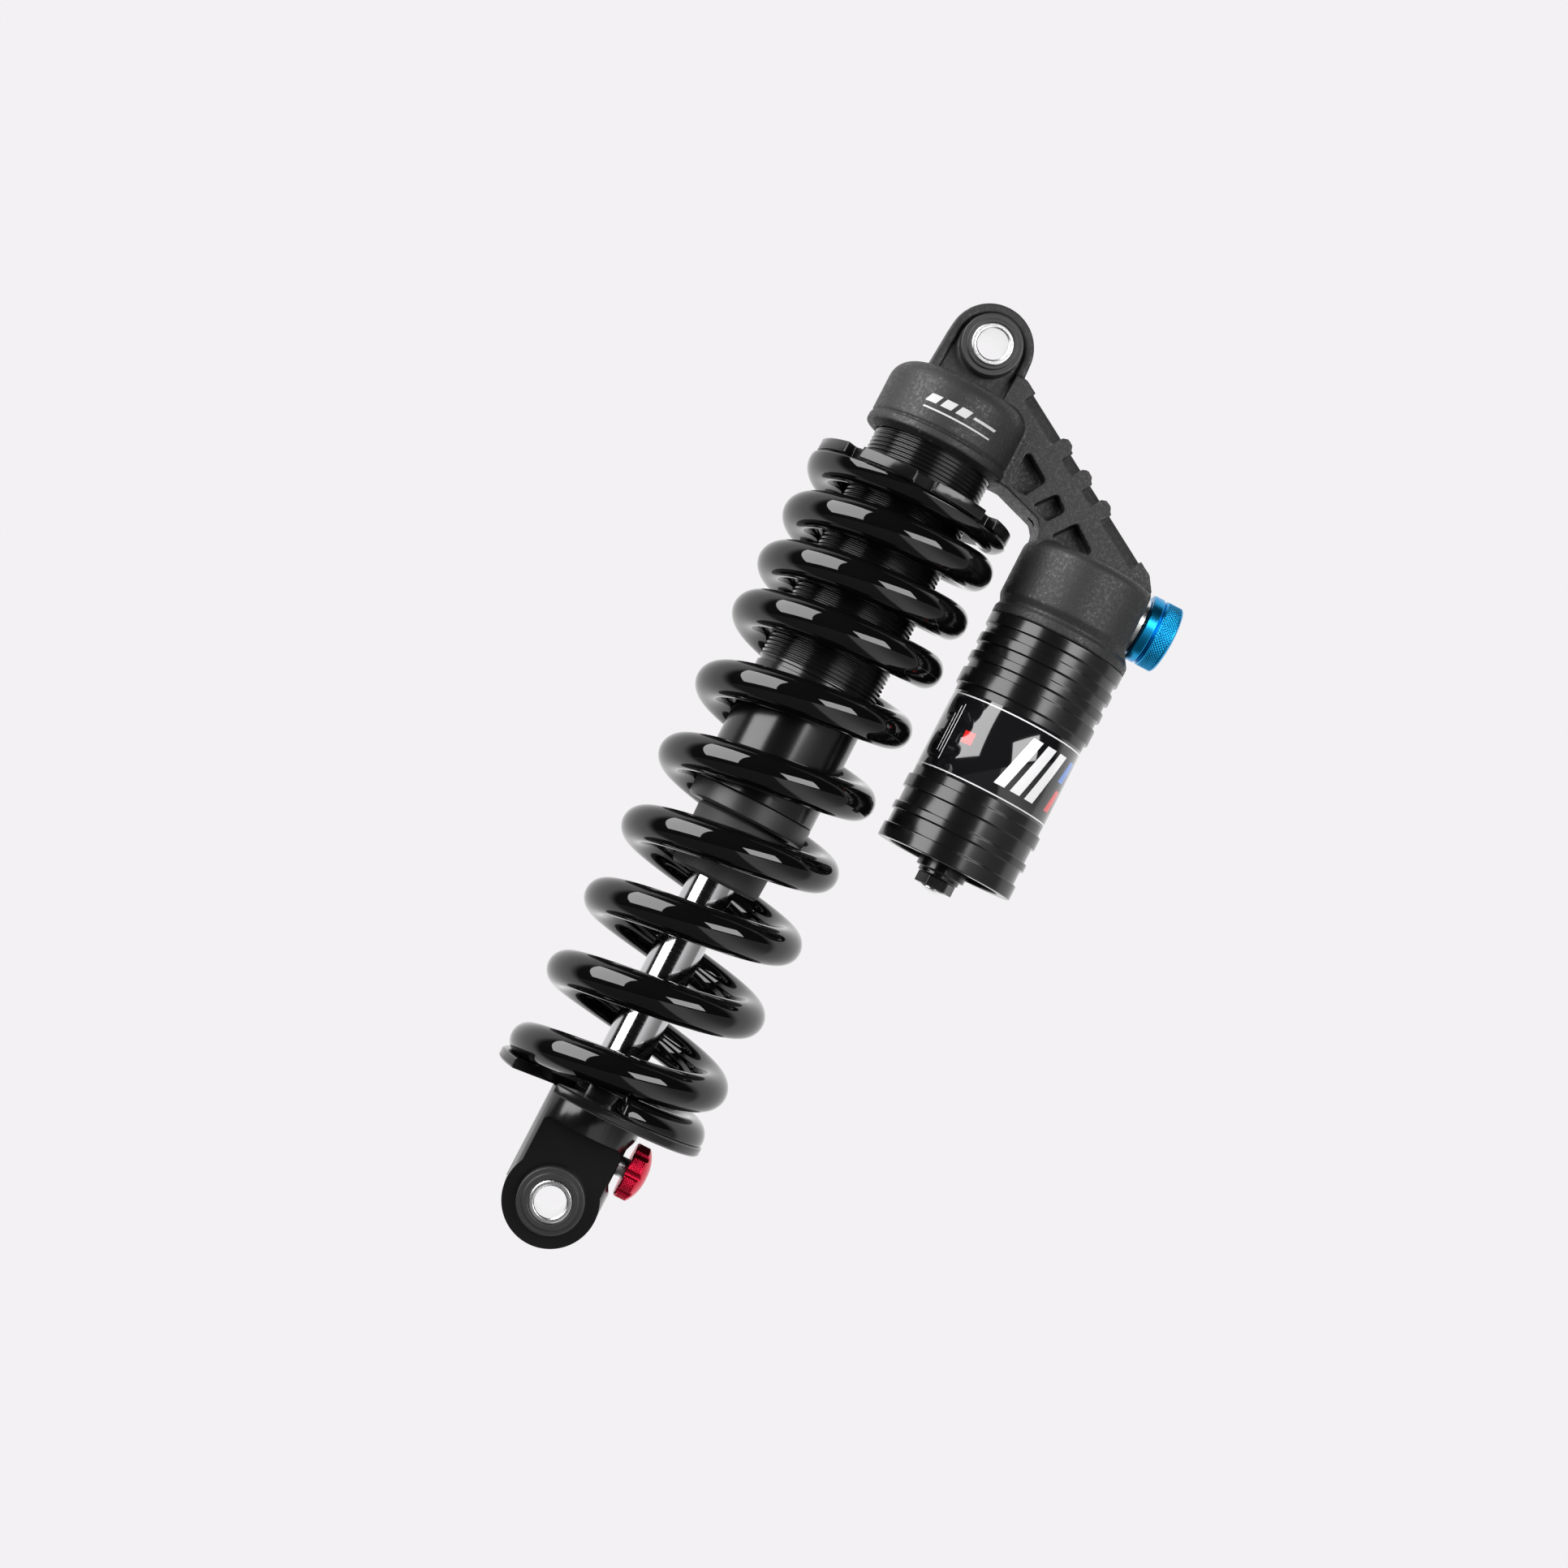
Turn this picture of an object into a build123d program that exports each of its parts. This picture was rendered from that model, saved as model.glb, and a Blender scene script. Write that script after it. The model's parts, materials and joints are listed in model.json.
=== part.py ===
"""Coil-over rear shock with a piggyback reservoir.

Frame: millimetres. The origin is the centre of the upper eye, +Z runs up the damper's axis away
from the lower eye, +X points to the reservoir, and both eye bores run along Y. The shock is drawn
at full length, with the spring at its fitted length.
"""

import os
from math import cos, radians, sin, sqrt, tan

from build123d import *

os.makedirs("parts", exist_ok=True)

# ---------------------------------------------------------------- driving dimensions
stroke = 73.0                 # travel of the shaft
reservoir_offset = 50.0       # damper axis to reservoir axis
bolt_bore = 8.0               # bore of both eye sleeves
eye_span = 22.0               # length of an eye sleeve, over both spacers
lug_width = 12.7              # thickness of both eyelets along Y
sleeve_diameter = 10.8
upper_spacer_wall = 2.5       # spacer's flange beyond the sleeve
lower_spacer_wall = 3.1
spacer_step = 1.5             # flange beyond the spacer's raised ring
bush_wall = 0.9

lug_radius = 11.2             # round top of the head's eyelet
cap_radius = 19.2             # round collar of the head casting
cap_top_drop = 11.3           # upper eye centre down to the collar's top
cap_height = 19.2
cap_floor = 10.2              # solid metal above the oil chamber

tube_radius = 16.0            # outside of the thread
tube_wall = 2.0
smooth_tube_length = 32.8     # plain stretch below the thread
seal_head_band = 5.3          # part of the seal head outside the tube
seal_head_insert = 10.6       # part of the seal head inside the tube

shaft_diameter = 12.5
spigot_diameter = 7.0
piston_height = 10.0
shim_stack = 1.2
piston_nut_height = 5.0
top_out_height = 4.8
bump_stop_length = 17.0
bump_stop_squashed = 4.5      # its height at full stroke

upper_seat_drop = 43.6        # upper eye centre down to the spring's upper seat
spring_mean_radius = 22.9
wire_diameter = 9.6
closed_top_turns = 0.5
close_wound_turns = 3.0
open_wound_turns = 6.0
closed_bottom_turns = 0.72
end_rise = 3.7                # rise of the closed turns at each end
top_tip_rise = 2.5            # the wire's centre above the upper seat, at its ground tip
bottom_tip_drop = 0.1         # and below the lower seat
close_wound_share = 0.2544    # share of the middle height taken by the close-wound turns

collar_radius = 26.9
collar_height = 3.0
collar_notches = 8
washer_thickness = 0.8

retainer_radius = 28.0
retainer_thickness = 2.7
retainer_slot_slack = 3.1     # slot wider than the shaft
eyelet_radius = 12.5
eyelet_drop = 28.1            # spring's lower seat down to the lower eye centre
eyelet_neck_length = 6.9      # round stretch between the retainer and the flats

can_radius = 17.85
can_rim_radius = 18.6
can_bore_radius = 15.3
can_top_drop = 58.2           # upper eye centre down to the joint of head and can
can_length = 63.5
head_radius = 18.9            # round head over the reservoir
head_top_drop = 36.8
knob_face_stand = 14.5        # reservoir axis out to the flat that the compression knob sits on
adjuster_drop = 44.2          # upper eye centre down to the compression knob's axis
floating_piston_height = 12.0
floating_piston_gap = 18.0    # oil height between the head and the floating piston

arm_half_width = 8.0
arm_angle = 30.4              # fall of the arm's top edge
web_half_width = 3.0

rebound_knob_radius = 7.25
rebound_knob_length = 5.7
rebound_drop = 14.5           # rebound knob's axis above the lower eye
compression_knob_radius = 8.9
compression_knob_length = 9.2

# ---------------------------------------------------------------- clearances
running = 0.04                # radial clearance of a shaft in its bore
fit = 0.02                    # radial clearance of pieces that are pressed or screwed together
face_gap = 0.1                # between faces of pieces that turn past each other
ring_slack = 0.06             # round a sealing ring in its groove

# ---------------------------------------------------------------- derived heights
cap_bottom_z = -cap_top_drop - cap_height
chamber_top_z = -cap_top_drop - cap_floor
spigot_top_z = chamber_top_z - 1.1 - stroke
nut_top_z = spigot_top_z - 0.5
nut_bottom_z = nut_top_z - piston_nut_height
piston_top_z = nut_bottom_z - shim_stack
piston_bottom_z = piston_top_z - piston_height
shoulder_z = piston_bottom_z - shim_stack
top_out_bottom_z = shoulder_z - top_out_height
insert_top_z = top_out_bottom_z - 0.2
tube_bottom_z = insert_top_z - seal_head_insert
seal_head_bottom_z = tube_bottom_z - seal_head_band
bump_stop_bottom_z = seal_head_bottom_z - bump_stop_length
upper_seat_z = -upper_seat_drop
lower_seat_z = seal_head_bottom_z - bump_stop_squashed - stroke
lower_eye_z = lower_seat_z - eyelet_drop
eyelet_top_z = lower_seat_z - retainer_thickness
flats_top_z = eyelet_top_z - eyelet_neck_length
rebound_z = lower_eye_z + rebound_drop
adjuster_z = -adjuster_drop
can_top_z = -can_top_drop
can_bottom_z = can_top_z - can_length

shaft_radius = shaft_diameter / 2
retainer_slot = shaft_diameter + retainer_slot_slack
knob_face_x = reservoir_offset + knob_face_stand
spigot_radius = spigot_diameter / 2
tube_bore_radius = tube_radius - tube_wall
sleeve_radius = sleeve_diameter / 2
bush_bore_radius = sleeve_radius + running
eye_bore_radius = bush_bore_radius + bush_wall
spacer_length = (eye_span - lug_width) / 2 - face_gap
wire_radius = wire_diameter / 2
eye_to_eye = -lower_eye_z
print("eye to eye", round(eye_to_eye, 2), "stroke", stroke)


def disc_plane(x, z):
    """A level plane whose origin is on the axis at x, at height z."""
    return Plane(origin=(x, 0, z), x_dir=(1, 0, 0), z_dir=(0, 0, 1))


def axis_plane(x):
    """An upright plane through the axis at x: local X is the radius, local Y the height."""
    return Plane(origin=(x, 0, 0), x_dir=(1, 0, 0), z_dir=(0, -1, 0))


def knob_plane(x, z):
    """A plane square to X at height z, facing +X: local X runs along Y and local Y up."""
    return Plane(origin=(x, 0, z), x_dir=(0, 1, 0), z_dir=(1, 0, 0))


def eye_plane(z, y=0.0):
    """A plane square to Y at the eye of height z, facing -Y: local X is X and local Y up."""
    return Plane(origin=(0, y, z), x_dir=(1, 0, 0), z_dir=(0, -1, 0))


damper_axis = Axis((0, 0, 0), (0, 0, 1))
reservoir_axis = Axis((reservoir_offset, 0, 0), (0, 0, 1))

# ---------------------------------------------------------------- head casting
# Eyelet, round collar over the damper tube, truss arm and round head over the reservoir, in one.
shoulder_round = 5.5
lip_height = 2.9
lip_taper = 1.2
arm_start = (12.0, -3.3)
arm_root_x = 9.0
arm_end_x = knob_face_x - 2.4
arm_slope = tan(radians(arm_angle))
arm_end_z = arm_start[1] - (arm_end_x - arm_start[0]) * arm_slope
head_left_x = reservoir_offset - head_radius
arm_low_z = cap_bottom_z + 0.6
bump_height = 0.9
bump_positions = (0.33, 0.49, 0.645)
arm_length = (arm_end_x - arm_start[0]) / cos(radians(arm_angle))
arm_top_plane = Plane(
    origin=(arm_start[0], 0, arm_start[1]),
    x_dir=(cos(radians(arm_angle)), 0, -sin(radians(arm_angle))),
    z_dir=(0, -1, 0),
)
compression_bore_radius = 6.2
compression_bore_depth = 14.0
passage_radius = 2.5

with BuildPart() as head_casting:
    # eyelet, drawn out slightly towards its foot
    with BuildSketch(eye_plane(0, lug_width / 2)):
        with BuildLine():
            foot = lug_radius + 0.8
            top_arc = CenterArc((0, 0), lug_radius, 0, 180)
            Polyline(top_arc @ 1, (-foot, -cap_top_drop - 2), (foot, -cap_top_drop - 2), top_arc @ 0)
        make_face()
    extrude(amount=lug_width)
    # round collar with a soft shoulder and a lip
    with BuildSketch(axis_plane(0)):
        with BuildLine():
            top = -cap_top_drop
            band_end = cap_bottom_z + lip_taper + lip_height
            shoulder_start = (cap_radius - shoulder_round, top)
            Line((0, top), shoulder_start)
            RadiusArc(shoulder_start, (cap_radius, top - shoulder_round), shoulder_round)
            Polyline(
                (cap_radius, top - shoulder_round),
                (cap_radius, band_end),
                (cap_radius - 0.5, band_end - 0.5),
                (cap_radius + 0.2, band_end - 1.0),
                (cap_radius + 0.2, cap_bottom_z + lip_taper),
                (tube_radius + 0.6, cap_bottom_z),
                (0, cap_bottom_z),
                (0, top),
            )
        make_face()
    revolve(axis=damper_axis)
    # arm from the eyelet to the reservoir's head
    with BuildSketch(eye_plane(0, arm_half_width)):
        with BuildLine():
            Polyline(
                (arm_root_x, arm_start[1]),
                arm_start,
                (arm_end_x, arm_end_z),
                (knob_face_x, arm_end_z - 3.6),
                (knob_face_x, -head_top_drop - 4),
                (head_left_x + 2.0, -head_top_drop - 4),
                (head_left_x + 0.8, -head_top_drop + 1.5),
                (head_left_x - 0.8, arm_low_z - 3.4),
                (cap_radius + 0.4, arm_low_z),
                (arm_root_x, arm_low_z),
                (arm_root_x, arm_start[1]),
            )
        make_face()
    extrude(amount=2 * arm_half_width)
    # bumps across the arm's top edge
    for share in bump_positions:
        with BuildSketch(arm_top_plane.offset(-arm_half_width)):
            with Locations((share * arm_length, bump_height - 1.6)):
                RectangleRounded(3.4, 3.2, 1.2)
        extrude(amount=2 * arm_half_width)
    # scoops along both top corners of the arm, between the bumps
    scoop_depth = 3.6
    scoop_starts = [0.07] + [share + 0.045 for share in bump_positions]
    scoop_ends = [share - 0.035 for share in bump_positions] + [0.93]
    for side in (-1, 1):
        for first, last in zip(scoop_starts, scoop_ends):
            scoop_plane = Plane(
                origin=arm_top_plane.from_local_coords((first * arm_length, 0, 0)),
                x_dir=(0, side, 0),
                z_dir=arm_top_plane.x_dir,
            )
            up = 1 if scoop_plane.y_dir.Z > 0 else -1
            with BuildSketch(scoop_plane):
                with BuildLine():
                    Polyline(
                        (arm_half_width + 1, up * 1.5),
                        (arm_half_width - 3.4, up * 1.5),
                        (arm_half_width - 3.4, up * -0.6),
                        (arm_half_width - 0.9, up * -scoop_depth),
                        (arm_half_width + 1, up * -scoop_depth - 0.4),
                        close=True,
                    )
                make_face()
            extrude(amount=(last - first) * arm_length, mode=Mode.SUBTRACT)
    # round head over the reservoir, with a waist above its bottom ring
    with BuildSketch(axis_plane(reservoir_offset)):
        with BuildLine():
            crown = 3.2
            Line((0, -head_top_drop), (head_radius - crown, -head_top_drop))
            RadiusArc(
                (head_radius - crown, -head_top_drop),
                (head_radius, -head_top_drop - crown),
                crown,
            )
            Polyline(
                (head_radius, -head_top_drop - crown),
                (head_radius, can_top_z + 5.6),
                (can_rim_radius - 0.7, can_top_z + 3.4),
                (can_rim_radius, can_top_z + 2.2),
                (can_rim_radius, can_top_z),
                (0, can_top_z),
                (0, -head_top_drop),
            )
        make_face()
    revolve(axis=reservoir_axis)
    # flat for the compression knob, running out into the bottom ring
    with BuildSketch(eye_plane(0, head_radius + 1)):
        with BuildLine():
            Polyline(
                (knob_face_x, -head_top_drop + 5),
                (knob_face_x, can_top_z + 5.2),
                (knob_face_x + 4.2, can_top_z + 2.2),
                (knob_face_x + 9, can_top_z + 2.2),
                (knob_face_x + 9, -head_top_drop + 5),
                close=True,
            )
        make_face()
    extrude(amount=2 * head_radius + 2, mode=Mode.SUBTRACT)
    # pockets in both faces of the arm, down to the web
    pocket_depth = arm_half_width - web_half_width + 1
    for face in (-1, 1):
        with BuildSketch(eye_plane(0, face * web_half_width)):
            with BuildLine():
                FilletPolyline(
                    (cap_radius + 1.0, arm_start[1] - 15.6),
                    (cap_radius + 8.8, arm_start[1] - 20.6),
                    (cap_radius + 5.6, arm_low_z + 0.4),
                    (cap_radius + 1.0, arm_low_z + 1.2),
                    radius=1.0,
                    close=True,
                )
            make_face()
            with BuildLine():
                FilletPolyline(
                    (cap_radius + 8.3, arm_low_z - 0.9),
                    (head_left_x + 0.9, arm_low_z + 4.6),
                    (head_left_x + 4.7, arm_low_z + 1.4),
                    (head_left_x + 1.6, arm_low_z - 2.9),
                    radius=1.0,
                    close=True,
                )
            make_face()
            with BuildLine():
                FilletPolyline(
                    (head_left_x + 4.0, -head_top_drop + 1.0),
                    (head_left_x + 8.6, arm_low_z + 0.3),
                    (head_left_x + 15.8, -head_top_drop + 2.0),
                    (head_left_x + 12.0, -head_top_drop + 0.2),
                    radius=0.8,
                    close=True,
                )
            make_face()
        extrude(amount=-face * pocket_depth, mode=Mode.SUBTRACT)
    # shallow panel in both faces of the eyelet, between two ribs
    panel_depth = 0.9
    for face in (-1, 1):
        with BuildSketch(eye_plane(0, face * (lug_width / 2 - panel_depth))):
            with BuildLine():
                Polyline(
                    (-lug_radius + 2.4, 0),
                    (-lug_radius + 1.9, -cap_top_drop + 0.02),
                    (lug_radius - 2.4, -cap_top_drop + 0.02),
                    (lug_radius - 2.4, 0),
                    close=True,
                )
            make_face()
            Circle(lug_radius - 2.4)
        extrude(amount=-face * (panel_depth + 1), mode=Mode.SUBTRACT)
        with BuildSketch(eye_plane(0, face * (lug_width / 2 - panel_depth))):
            Circle(eye_bore_radius + 1.4)
        extrude(amount=-face * panel_depth)
    # bores: eye, damper tube, oil chamber, reservoir spigot, adjuster and oil passages
    with BuildSketch(eye_plane(0, lug_width)):
        Circle(eye_bore_radius)
    extrude(amount=2 * lug_width, mode=Mode.SUBTRACT)
    with BuildSketch(disc_plane(0, cap_bottom_z)):
        Circle(tube_radius + fit)
    extrude(amount=chamber_top_z - cap_bottom_z, mode=Mode.SUBTRACT)
    with BuildSketch(disc_plane(reservoir_offset, can_top_z)):
        Circle(can_bore_radius - 3)
    extrude(amount=5.5, mode=Mode.SUBTRACT)
    with BuildSketch(knob_plane(knob_face_x, adjuster_z)):
        Circle(compression_bore_radius)
    extrude(amount=-compression_bore_depth, mode=Mode.SUBTRACT)
    with BuildSketch(disc_plane(reservoir_offset, can_top_z)):
        Circle(passage_radius)
    extrude(amount=adjuster_z - can_top_z, mode=Mode.SUBTRACT)
    with BuildSketch(disc_plane(knob_face_x - compression_bore_depth / 2, can_top_z + 5)):
        Circle(passage_radius)
    extrude(amount=adjuster_z - can_top_z - 5, mode=Mode.SUBTRACT)
    # spigot that the reservoir can screws onto
    with BuildSketch(disc_plane(reservoir_offset, can_top_z)):
        Circle(can_bore_radius - fit)
        Circle(can_bore_radius - 3, mode=Mode.SUBTRACT)
    extrude(amount=-7.0)
    with BuildSketch(disc_plane(reservoir_offset, can_top_z - 3.0)):
        Circle(can_bore_radius + 1)
        Circle(can_bore_radius - 1.6, mode=Mode.SUBTRACT)
    extrude(amount=-2.0, mode=Mode.SUBTRACT)
    # drilled passage through the arm, from the chamber to the adjuster
    feed_start = (tube_radius - 3.0, chamber_top_z - 0.5)
    feed_end = (knob_face_x - compression_bore_depth + 0.5, adjuster_z + 1.0)
    feed_run = sqrt((feed_end[0] - feed_start[0]) ** 2 + (feed_end[1] - feed_start[1]) ** 2)
    feed_plane = Plane(
        origin=(feed_start[0], 0, feed_start[1]),
        x_dir=(0, 1, 0),
        z_dir=(feed_end[0] - feed_start[0], 0, feed_end[1] - feed_start[1]),
    )
    with BuildSketch(feed_plane):
        Circle(1.6)
    extrude(amount=feed_run, mode=Mode.SUBTRACT)
head_casting.part.label = "head_casting"
export_step(head_casting.part, "parts/head_casting.step")

# ---------------------------------------------------------------- eyes: bushes, sleeves, spacers
for eye, eye_z, spacer_wall in (
    ("upper", 0.0, upper_spacer_wall),
    ("lower", lower_eye_z, lower_spacer_wall),
):
    spacer_radius = sleeve_radius + spacer_wall
    with BuildPart() as eye_bush:
        with BuildSketch(eye_plane(eye_z, lug_width / 2 - 0.2)):
            Circle(eye_bore_radius - fit)
            Circle(bush_bore_radius, mode=Mode.SUBTRACT)
        extrude(amount=lug_width - 0.4)
    eye_bush.part.label = f"{eye}_eye_bush"
    export_step(eye_bush.part, f"parts/{eye}_eye_bush.step")

    with BuildPart() as eye_sleeve:
        with BuildSketch(eye_plane(eye_z, eye_span / 2)):
            Circle(sleeve_radius)
            Circle(bolt_bore / 2, mode=Mode.SUBTRACT)
        extrude(amount=eye_span)
        chamfer(eye_sleeve.edges().filter_by(GeomType.CIRCLE), length=0.3)
    eye_sleeve.part.label = f"{eye}_eye_sleeve"
    export_step(eye_sleeve.part, f"parts/{eye}_eye_sleeve.step")

    # a stepped ring on each end of the sleeve, both in one node
    with BuildPart() as eye_spacers:
        for face in (-1, 1):
            inner_y = face * (lug_width / 2 + face_gap)
            with BuildSketch(eye_plane(eye_z, inner_y)):
                Circle(spacer_radius)
                Circle(sleeve_radius + fit, mode=Mode.SUBTRACT)
            extrude(amount=-face * (spacer_length - 0.9))
            with BuildSketch(eye_plane(eye_z, inner_y + face * (spacer_length - 0.9))):
                Circle(spacer_radius - spacer_step)
                Circle(sleeve_radius + fit, mode=Mode.SUBTRACT)
            extrude(amount=-face * 0.7)
    eye_spacers.part.label = f"{eye}_eye_spacers"
    export_step(eye_spacers.part, f"parts/{eye}_eye_spacers.step")

# ---------------------------------------------------------------- damper tube and seal head
thread_end_z = tube_bottom_z + smooth_tube_length
with BuildPart() as damper_tube:
    with BuildSketch(disc_plane(0, tube_bottom_z)):
        Circle(tube_radius)
        Circle(tube_bore_radius, mode=Mode.SUBTRACT)
    extrude(amount=chamber_top_z - tube_bottom_z - 0.2)
    with BuildSketch(disc_plane(0, thread_end_z)):
        Circle(tube_radius + 1)
        Circle(tube_radius - 0.5, mode=Mode.SUBTRACT)
    extrude(amount=1.2, mode=Mode.SUBTRACT)
damper_tube.part.label = "damper_tube"
export_step(damper_tube.part, "parts/damper_tube.step")

seal_groove_depth = 3.2
wiper_depth = 2.6
with BuildPart() as seal_head:
    with BuildSketch(axis_plane(0)):
        with BuildLine():
            bore = shaft_radius + running
            insert = tube_bore_radius - fit
            groove_z = insert_top_z - 4.0
            Polyline(
                (bore, insert_top_z),
                (insert, insert_top_z),
                (insert, groove_z),
                (insert - 1.5, groove_z),
                (insert - 1.5, groove_z - 1.9),
                (insert, groove_z - 1.9),
                (insert, tube_bottom_z - 0.1),
                (tube_radius, tube_bottom_z - 0.1),
                (tube_radius, seal_head_bottom_z + 0.6),
                (tube_radius - 0.6, seal_head_bottom_z),
                (shaft_radius + 3.0, seal_head_bottom_z),
                (shaft_radius + 3.0, seal_head_bottom_z + wiper_depth),
                (bore, seal_head_bottom_z + wiper_depth),
                (bore, seal_head_bottom_z + wiper_depth + 1.5),
                (shaft_radius + 2.6, seal_head_bottom_z + wiper_depth + 1.5),
                (shaft_radius + 2.6, seal_head_bottom_z + wiper_depth + 1.5 + seal_groove_depth),
                (bore, seal_head_bottom_z + wiper_depth + 1.5 + seal_groove_depth),
                close=True,
            )
        make_face()
    revolve(axis=damper_axis)
seal_head.part.label = "seal_head"
export_step(seal_head.part, "parts/seal_head.step")

with BuildPart() as seal_head_o_ring:
    with BuildSketch(axis_plane(0)):
        with Locations((tube_bore_radius - fit - 0.72, insert_top_z - 4.0 - 0.95)):
            Circle(0.7)
    revolve(axis=damper_axis)
seal_head_o_ring.part.label = "seal_head_o_ring"
export_step(seal_head_o_ring.part, "parts/seal_head_o_ring.step")

with BuildPart() as shaft_seal:
    with BuildSketch(disc_plane(0, seal_head_bottom_z + wiper_depth + 1.5 + ring_slack)):
        Circle(shaft_radius + 2.6 - ring_slack)
        Circle(shaft_radius + running, mode=Mode.SUBTRACT)
    extrude(amount=seal_groove_depth - 2 * ring_slack)
shaft_seal.part.label = "shaft_seal"
export_step(shaft_seal.part, "parts/shaft_seal.step")

with BuildPart() as wiper_seal:
    with BuildSketch(axis_plane(0)):
        with BuildLine():
            Polyline(
                (shaft_radius + running, seal_head_bottom_z + 0.3),
                (shaft_radius + running, seal_head_bottom_z + wiper_depth - ring_slack),
                (shaft_radius + 3.0 - fit, seal_head_bottom_z + wiper_depth - ring_slack),
                (shaft_radius + 3.0 - fit, seal_head_bottom_z + 0.9),
                close=True,
            )
        make_face()
    revolve(axis=damper_axis)
wiper_seal.part.label = "wiper_seal"
export_step(wiper_seal.part, "parts/wiper_seal.step")

with BuildPart() as bump_stop:
    with BuildSketch(axis_plane(0)):
        with BuildLine():
            low = bump_stop_bottom_z
            high = seal_head_bottom_z - face_gap
            Polyline(
                (shaft_radius + 0.3, low),
                (11.3, low),
                (11.9, low + 0.7),
                (12.5, high - 0.8),
                (11.9, high),
                (shaft_radius + 0.3, high),
                close=True,
            )
        make_face()
    revolve(axis=damper_axis)
bump_stop.part.label = "bump_stop"
export_step(bump_stop.part, "parts/bump_stop.step")

# ---------------------------------------------------------------- spring, collar and retainer
collar_bottom_z = upper_seat_z + washer_thickness + face_gap
with BuildPart() as preload_collar:
    with BuildSketch(disc_plane(0, collar_bottom_z)):
        Circle(collar_radius)
        Circle(tube_radius + running, mode=Mode.SUBTRACT)
    extrude(amount=collar_height)
    with BuildSketch(disc_plane(0, collar_bottom_z)):
        with PolarLocations(collar_radius, collar_notches):
            Rectangle(6.4, 5.2)
    extrude(amount=collar_height, mode=Mode.SUBTRACT)
preload_collar.part.label = "preload_collar"
export_step(preload_collar.part, "parts/preload_collar.step")

spring_bore_radius = spring_mean_radius - wire_radius
with BuildPart() as thrust_washer:
    with BuildSketch(disc_plane(0, upper_seat_z + ring_slack / 2)):
        Circle(collar_radius - 3.4)
        Circle(tube_radius + 2 * running, mode=Mode.SUBTRACT)
    extrude(amount=washer_thickness)
thrust_washer.part.label = "thrust_washer"
export_step(thrust_washer.part, "parts/thrust_washer.step")

# The wire is four helices end to end: a closed turn, close-wound turns, open turns and a closed end.
first_z = upper_seat_z + top_tip_rise
last_z = lower_seat_z - bottom_tip_drop
middle_height = first_z - last_z - 2 * end_rise
stretches = (
    (closed_top_turns, end_rise),
    (close_wound_turns, close_wound_share * middle_height),
    (open_wound_turns, (1 - close_wound_share) * middle_height),
    (closed_bottom_turns, end_rise),
)
coil_pieces = []
turn_angle = 0.0
coil_z = first_z
for turns, fall in stretches:
    pitch = fall / turns
    path = Helix(pitch, fall, spring_mean_radius, direction=(0, 0, 1), mode=Mode.PRIVATE)
    start = path @ 0
    tangent = path % 0
    with BuildPart() as stretch:
        with BuildSketch(Plane(origin=start, z_dir=tangent)):
            Circle(wire_radius)
        sweep(path=path, is_frenet=True)
    turned = Rotation(0, 0, -360 * turns - turn_angle) * stretch.part
    coil_pieces.append(Pos(0, 0, coil_z - fall) * turned)
    turn_angle += 360 * turns
    coil_z -= fall
with BuildPart() as coil_spring:
    for piece in coil_pieces:
        add(piece)
    with BuildSketch(disc_plane(0, upper_seat_z)):
        Circle(2 * spring_mean_radius)
    extrude(amount=2 * wire_diameter, mode=Mode.SUBTRACT)
    with BuildSketch(disc_plane(0, lower_seat_z + ring_slack / 2)):
        Circle(2 * spring_mean_radius)
    extrude(amount=-2 * wire_diameter, mode=Mode.SUBTRACT)
coil_spring.part.label = "coil_spring"
export_step(coil_spring.part, "parts/coil_spring.step")
print("spring solids", len(coil_spring.part.solids()), "volume", round(coil_spring.part.volume))

with BuildPart() as spring_retainer:
    with BuildSketch(disc_plane(0, eyelet_top_z)):
        Circle(retainer_radius)
    extrude(amount=retainer_thickness - ring_slack / 2)
    chamfer(spring_retainer.edges().filter_by(GeomType.CIRCLE), length=0.5)
    # upstand that centres the spring
    with BuildSketch(disc_plane(0, lower_seat_z - ring_slack)):
        Circle(spring_bore_radius - 0.4)
        Circle(spring_bore_radius - 3.4, mode=Mode.SUBTRACT)
    extrude(amount=3.0)
    # slot that lets it slip over the shaft, open at the front and left
    slot_angle = 228.0
    slot_x = Vector(cos(radians(slot_angle)), sin(radians(slot_angle)), 0)
    slot_plane = Plane(
        origin=slot_x * (retainer_radius / 2) + Vector(0, 0, eyelet_top_z - 1),
        x_dir=slot_x,
        z_dir=(0, 0, 1),
    )
    with BuildSketch(slot_plane):
        Rectangle(retainer_radius + 2, retainer_slot)
    extrude(amount=wire_diameter, mode=Mode.SUBTRACT)
    with BuildSketch(disc_plane(0, eyelet_top_z - 1)):
        Circle(retainer_slot / 2)
    extrude(amount=wire_diameter, mode=Mode.SUBTRACT)
spring_retainer.part.label = "spring_retainer"
export_step(spring_retainer.part, "parts/spring_retainer.step")

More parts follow.
